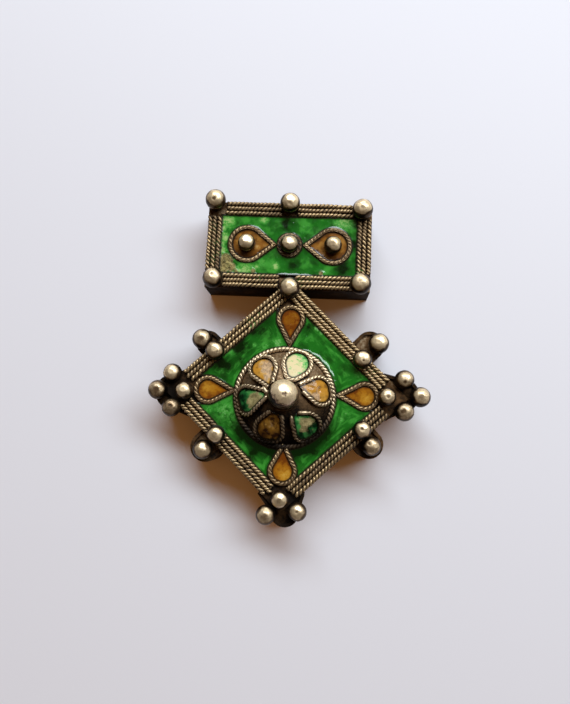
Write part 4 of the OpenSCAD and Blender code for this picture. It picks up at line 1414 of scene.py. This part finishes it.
def add_window():
    """One wide window high beyond the upper end, a little to the right."""
    turn, height = math.radians(WINDOW_TURN), math.radians(WINDOW_RISE)
    level = WINDOW_AWAY * math.cos(height)
    place = Vector((level * math.sin(turn), level * math.cos(turn), WINDOW_AWAY * math.sin(height)))
    data = bpy.data.lights.new("window", "AREA")
    data.shape = "RECTANGLE"
    data.size = WINDOW_W * MM
    data.size_y = WINDOW_H * MM
    data.energy = 9.1
    data.color = (0.83, 0.90, 0.98)
    lamp = bpy.data.objects.new("window", data)
    bpy.context.scene.collection.objects.link(lamp)
    lamp.location = place * MM
    way = (Vector((CENTRE_X, CENTRE_Y, 0.0)) - place).normalized()
    lamp.rotation_euler = way.to_track_quat("-Z", "Y").to_euler()
    lamp.visible_camera = False


def add_room():
    """A dim warm room, which the camera sees as a pale wall."""
    world = bpy.data.worlds.new("studio")
    world.use_nodes = True
    tree = world.node_tree
    room = tree.nodes["Background"]
    way_up = part_of(tree, tree.nodes.new("ShaderNodeTexCoord").outputs["Generated"], "Z")
    glow = blend(
        tree, soft_step(tree, way_up, 0.35, 0.95), (0.03, 0.016, 0.008, 1.0), (0.10, 0.062, 0.035, 1.0))
    tree.links.new(glow, room.inputs["Color"])
    wall = add(tree, "ShaderNodeBackground", {"Color": (0.78, 0.78, 0.82, 1), "Strength": 1.0})
    seen = tree.nodes.new("ShaderNodeLightPath").outputs["Is Camera Ray"]
    mixed = add(tree, "ShaderNodeMixShader", {0: seen, 1: room.outputs[0], 2: wall.outputs[0]})
    tree.links.new(mixed.outputs[0], tree.nodes["World Output"].inputs["Surface"])
    bpy.context.scene.world = world


add_camera()
add_floor()
add_window()
add_room()

groups = {"old_silver": old_silver_group(), "scratches": scratches_group(), "poured_enamel": enamel_group()}
plate = silver("silver_plate", groups, plate_wear, {"Tarnish": (0.165, 0.082, 0.029), "Dull": 0.84}, dull=0.8)
wire_tones = {"Oxide": (0.016, 0.010, 0.006), "Tarnish": (0.165, 0.10, 0.045), "Bright": (0.47, 0.325, 0.16)}
wire = silver("silver_wire", groups, wire_wear, wire_tones, dirt=green_dirt, dull=0.5, sheen=0.7)
boss_tones = {"Oxide": (0.016, 0.010, 0.006), "Tarnish": (0.18, 0.112, 0.055), "Bright": (0.76, 0.59, 0.37)}
boss_wire = silver("silver_boss_wire", groups, wire_wear, boss_tones, dirt=green_dirt, dull=0.6, sheen=0.8)
ball_tones = {
    "Oxide": (0.012, 0.008, 0.006), "Tarnish": (0.26, 0.165, 0.085), "Bright": (0.97, 0.76, 0.46),
    "Grain": 0.7, "Dull": 0.38, "Polished": 0.5}
ball = silver("silver_ball", groups, ball_wear, ball_tones, relief=0.2, sheen=0.8, polish=0.7)
boss_plate = silver("silver_boss", groups, boss_wear_and_shade, {"Tarnish": (0.19, 0.108, 0.048)})
top_tones = {**ball_tones, "Grain": 3.2, "Tarnish": (0.36, 0.24, 0.165)}
top_silver = silver("silver_top_ball", groups, ball_wear, top_tones, relief=0.4, sheen=0.72, polish=0.6)
green = enamel("green_glass", groups, {}, 2.6)
lozenge_green = enamel("lozenge_green_glass", groups, {"Thin": (0.36, 0.60, 0.24)}, 2.6)
yellow = enamel("yellow_glass", groups, {
    "Main": (0.27, 0.10, 0.012), "Deep": (0.075, 0.024, 0.005), "Light": (0.44, 0.21, 0.04),
    "Thin": (0.55, 0.40, 0.17), "Ground": (0.3, 0.2, 0.12), "Rim": 0.45}, 1.0, coat=0.4, relief=0.45)
orange = enamel("orange_glass", groups, {
    "Main": (0.40, 0.15, 0.007), "Deep": (0.17, 0.042, 0.003), "Light": (0.52, 0.24, 0.02),
    "Thin": (0.60, 0.34, 0.05), "Ground": (0.3, 0.2, 0.12), "Rim": 0.6}, 0.9, relief=0.45)
petal_yellow = enamel("petal_yellow_glass", groups, {
    "Main": (0.55, 0.25, 0.03), "Deep": (0.05, 0.018, 0.007), "Light": (0.60, 0.32, 0.06),
    "Thin": (0.76, 0.56, 0.32), "Ground": (0.64, 0.43, 0.24), "Crust": (0.30, 0.19, 0.11)},
    1.0, coat=0.12, shine=0.2)
petal_green = enamel("petal_green_glass", groups, {
    "Main": (0.03, 0.24, 0.05), "Deep": (0.002, 0.022, 0.006), "Light": (0.16, 0.50, 0.12),
    "Thin": (0.76, 0.60, 0.33), "Ground": (0.50, 0.38, 0.17), "Crust": (0.24, 0.18, 0.07)},
    1.0, coat=0.12, shine=0.2)

for name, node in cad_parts.items():
    if "enamel" not in name:
        node.data.materials.clear()
        node.data.materials.append(boss_plate if name == "boss" else plate)

upper_wires(wire)
lozenge_wires(wire)
boss_wires(boss_wire)
upper_balls(ball)
lozenge_balls(ball)
top_ball(top_silver)
pour_upper(green, yellow)
pour_lozenge(lozenge_green, orange)
pour_petals(petal_yellow, petal_green)
bpy.context.scene.view_settings.view_transform = "Standard"
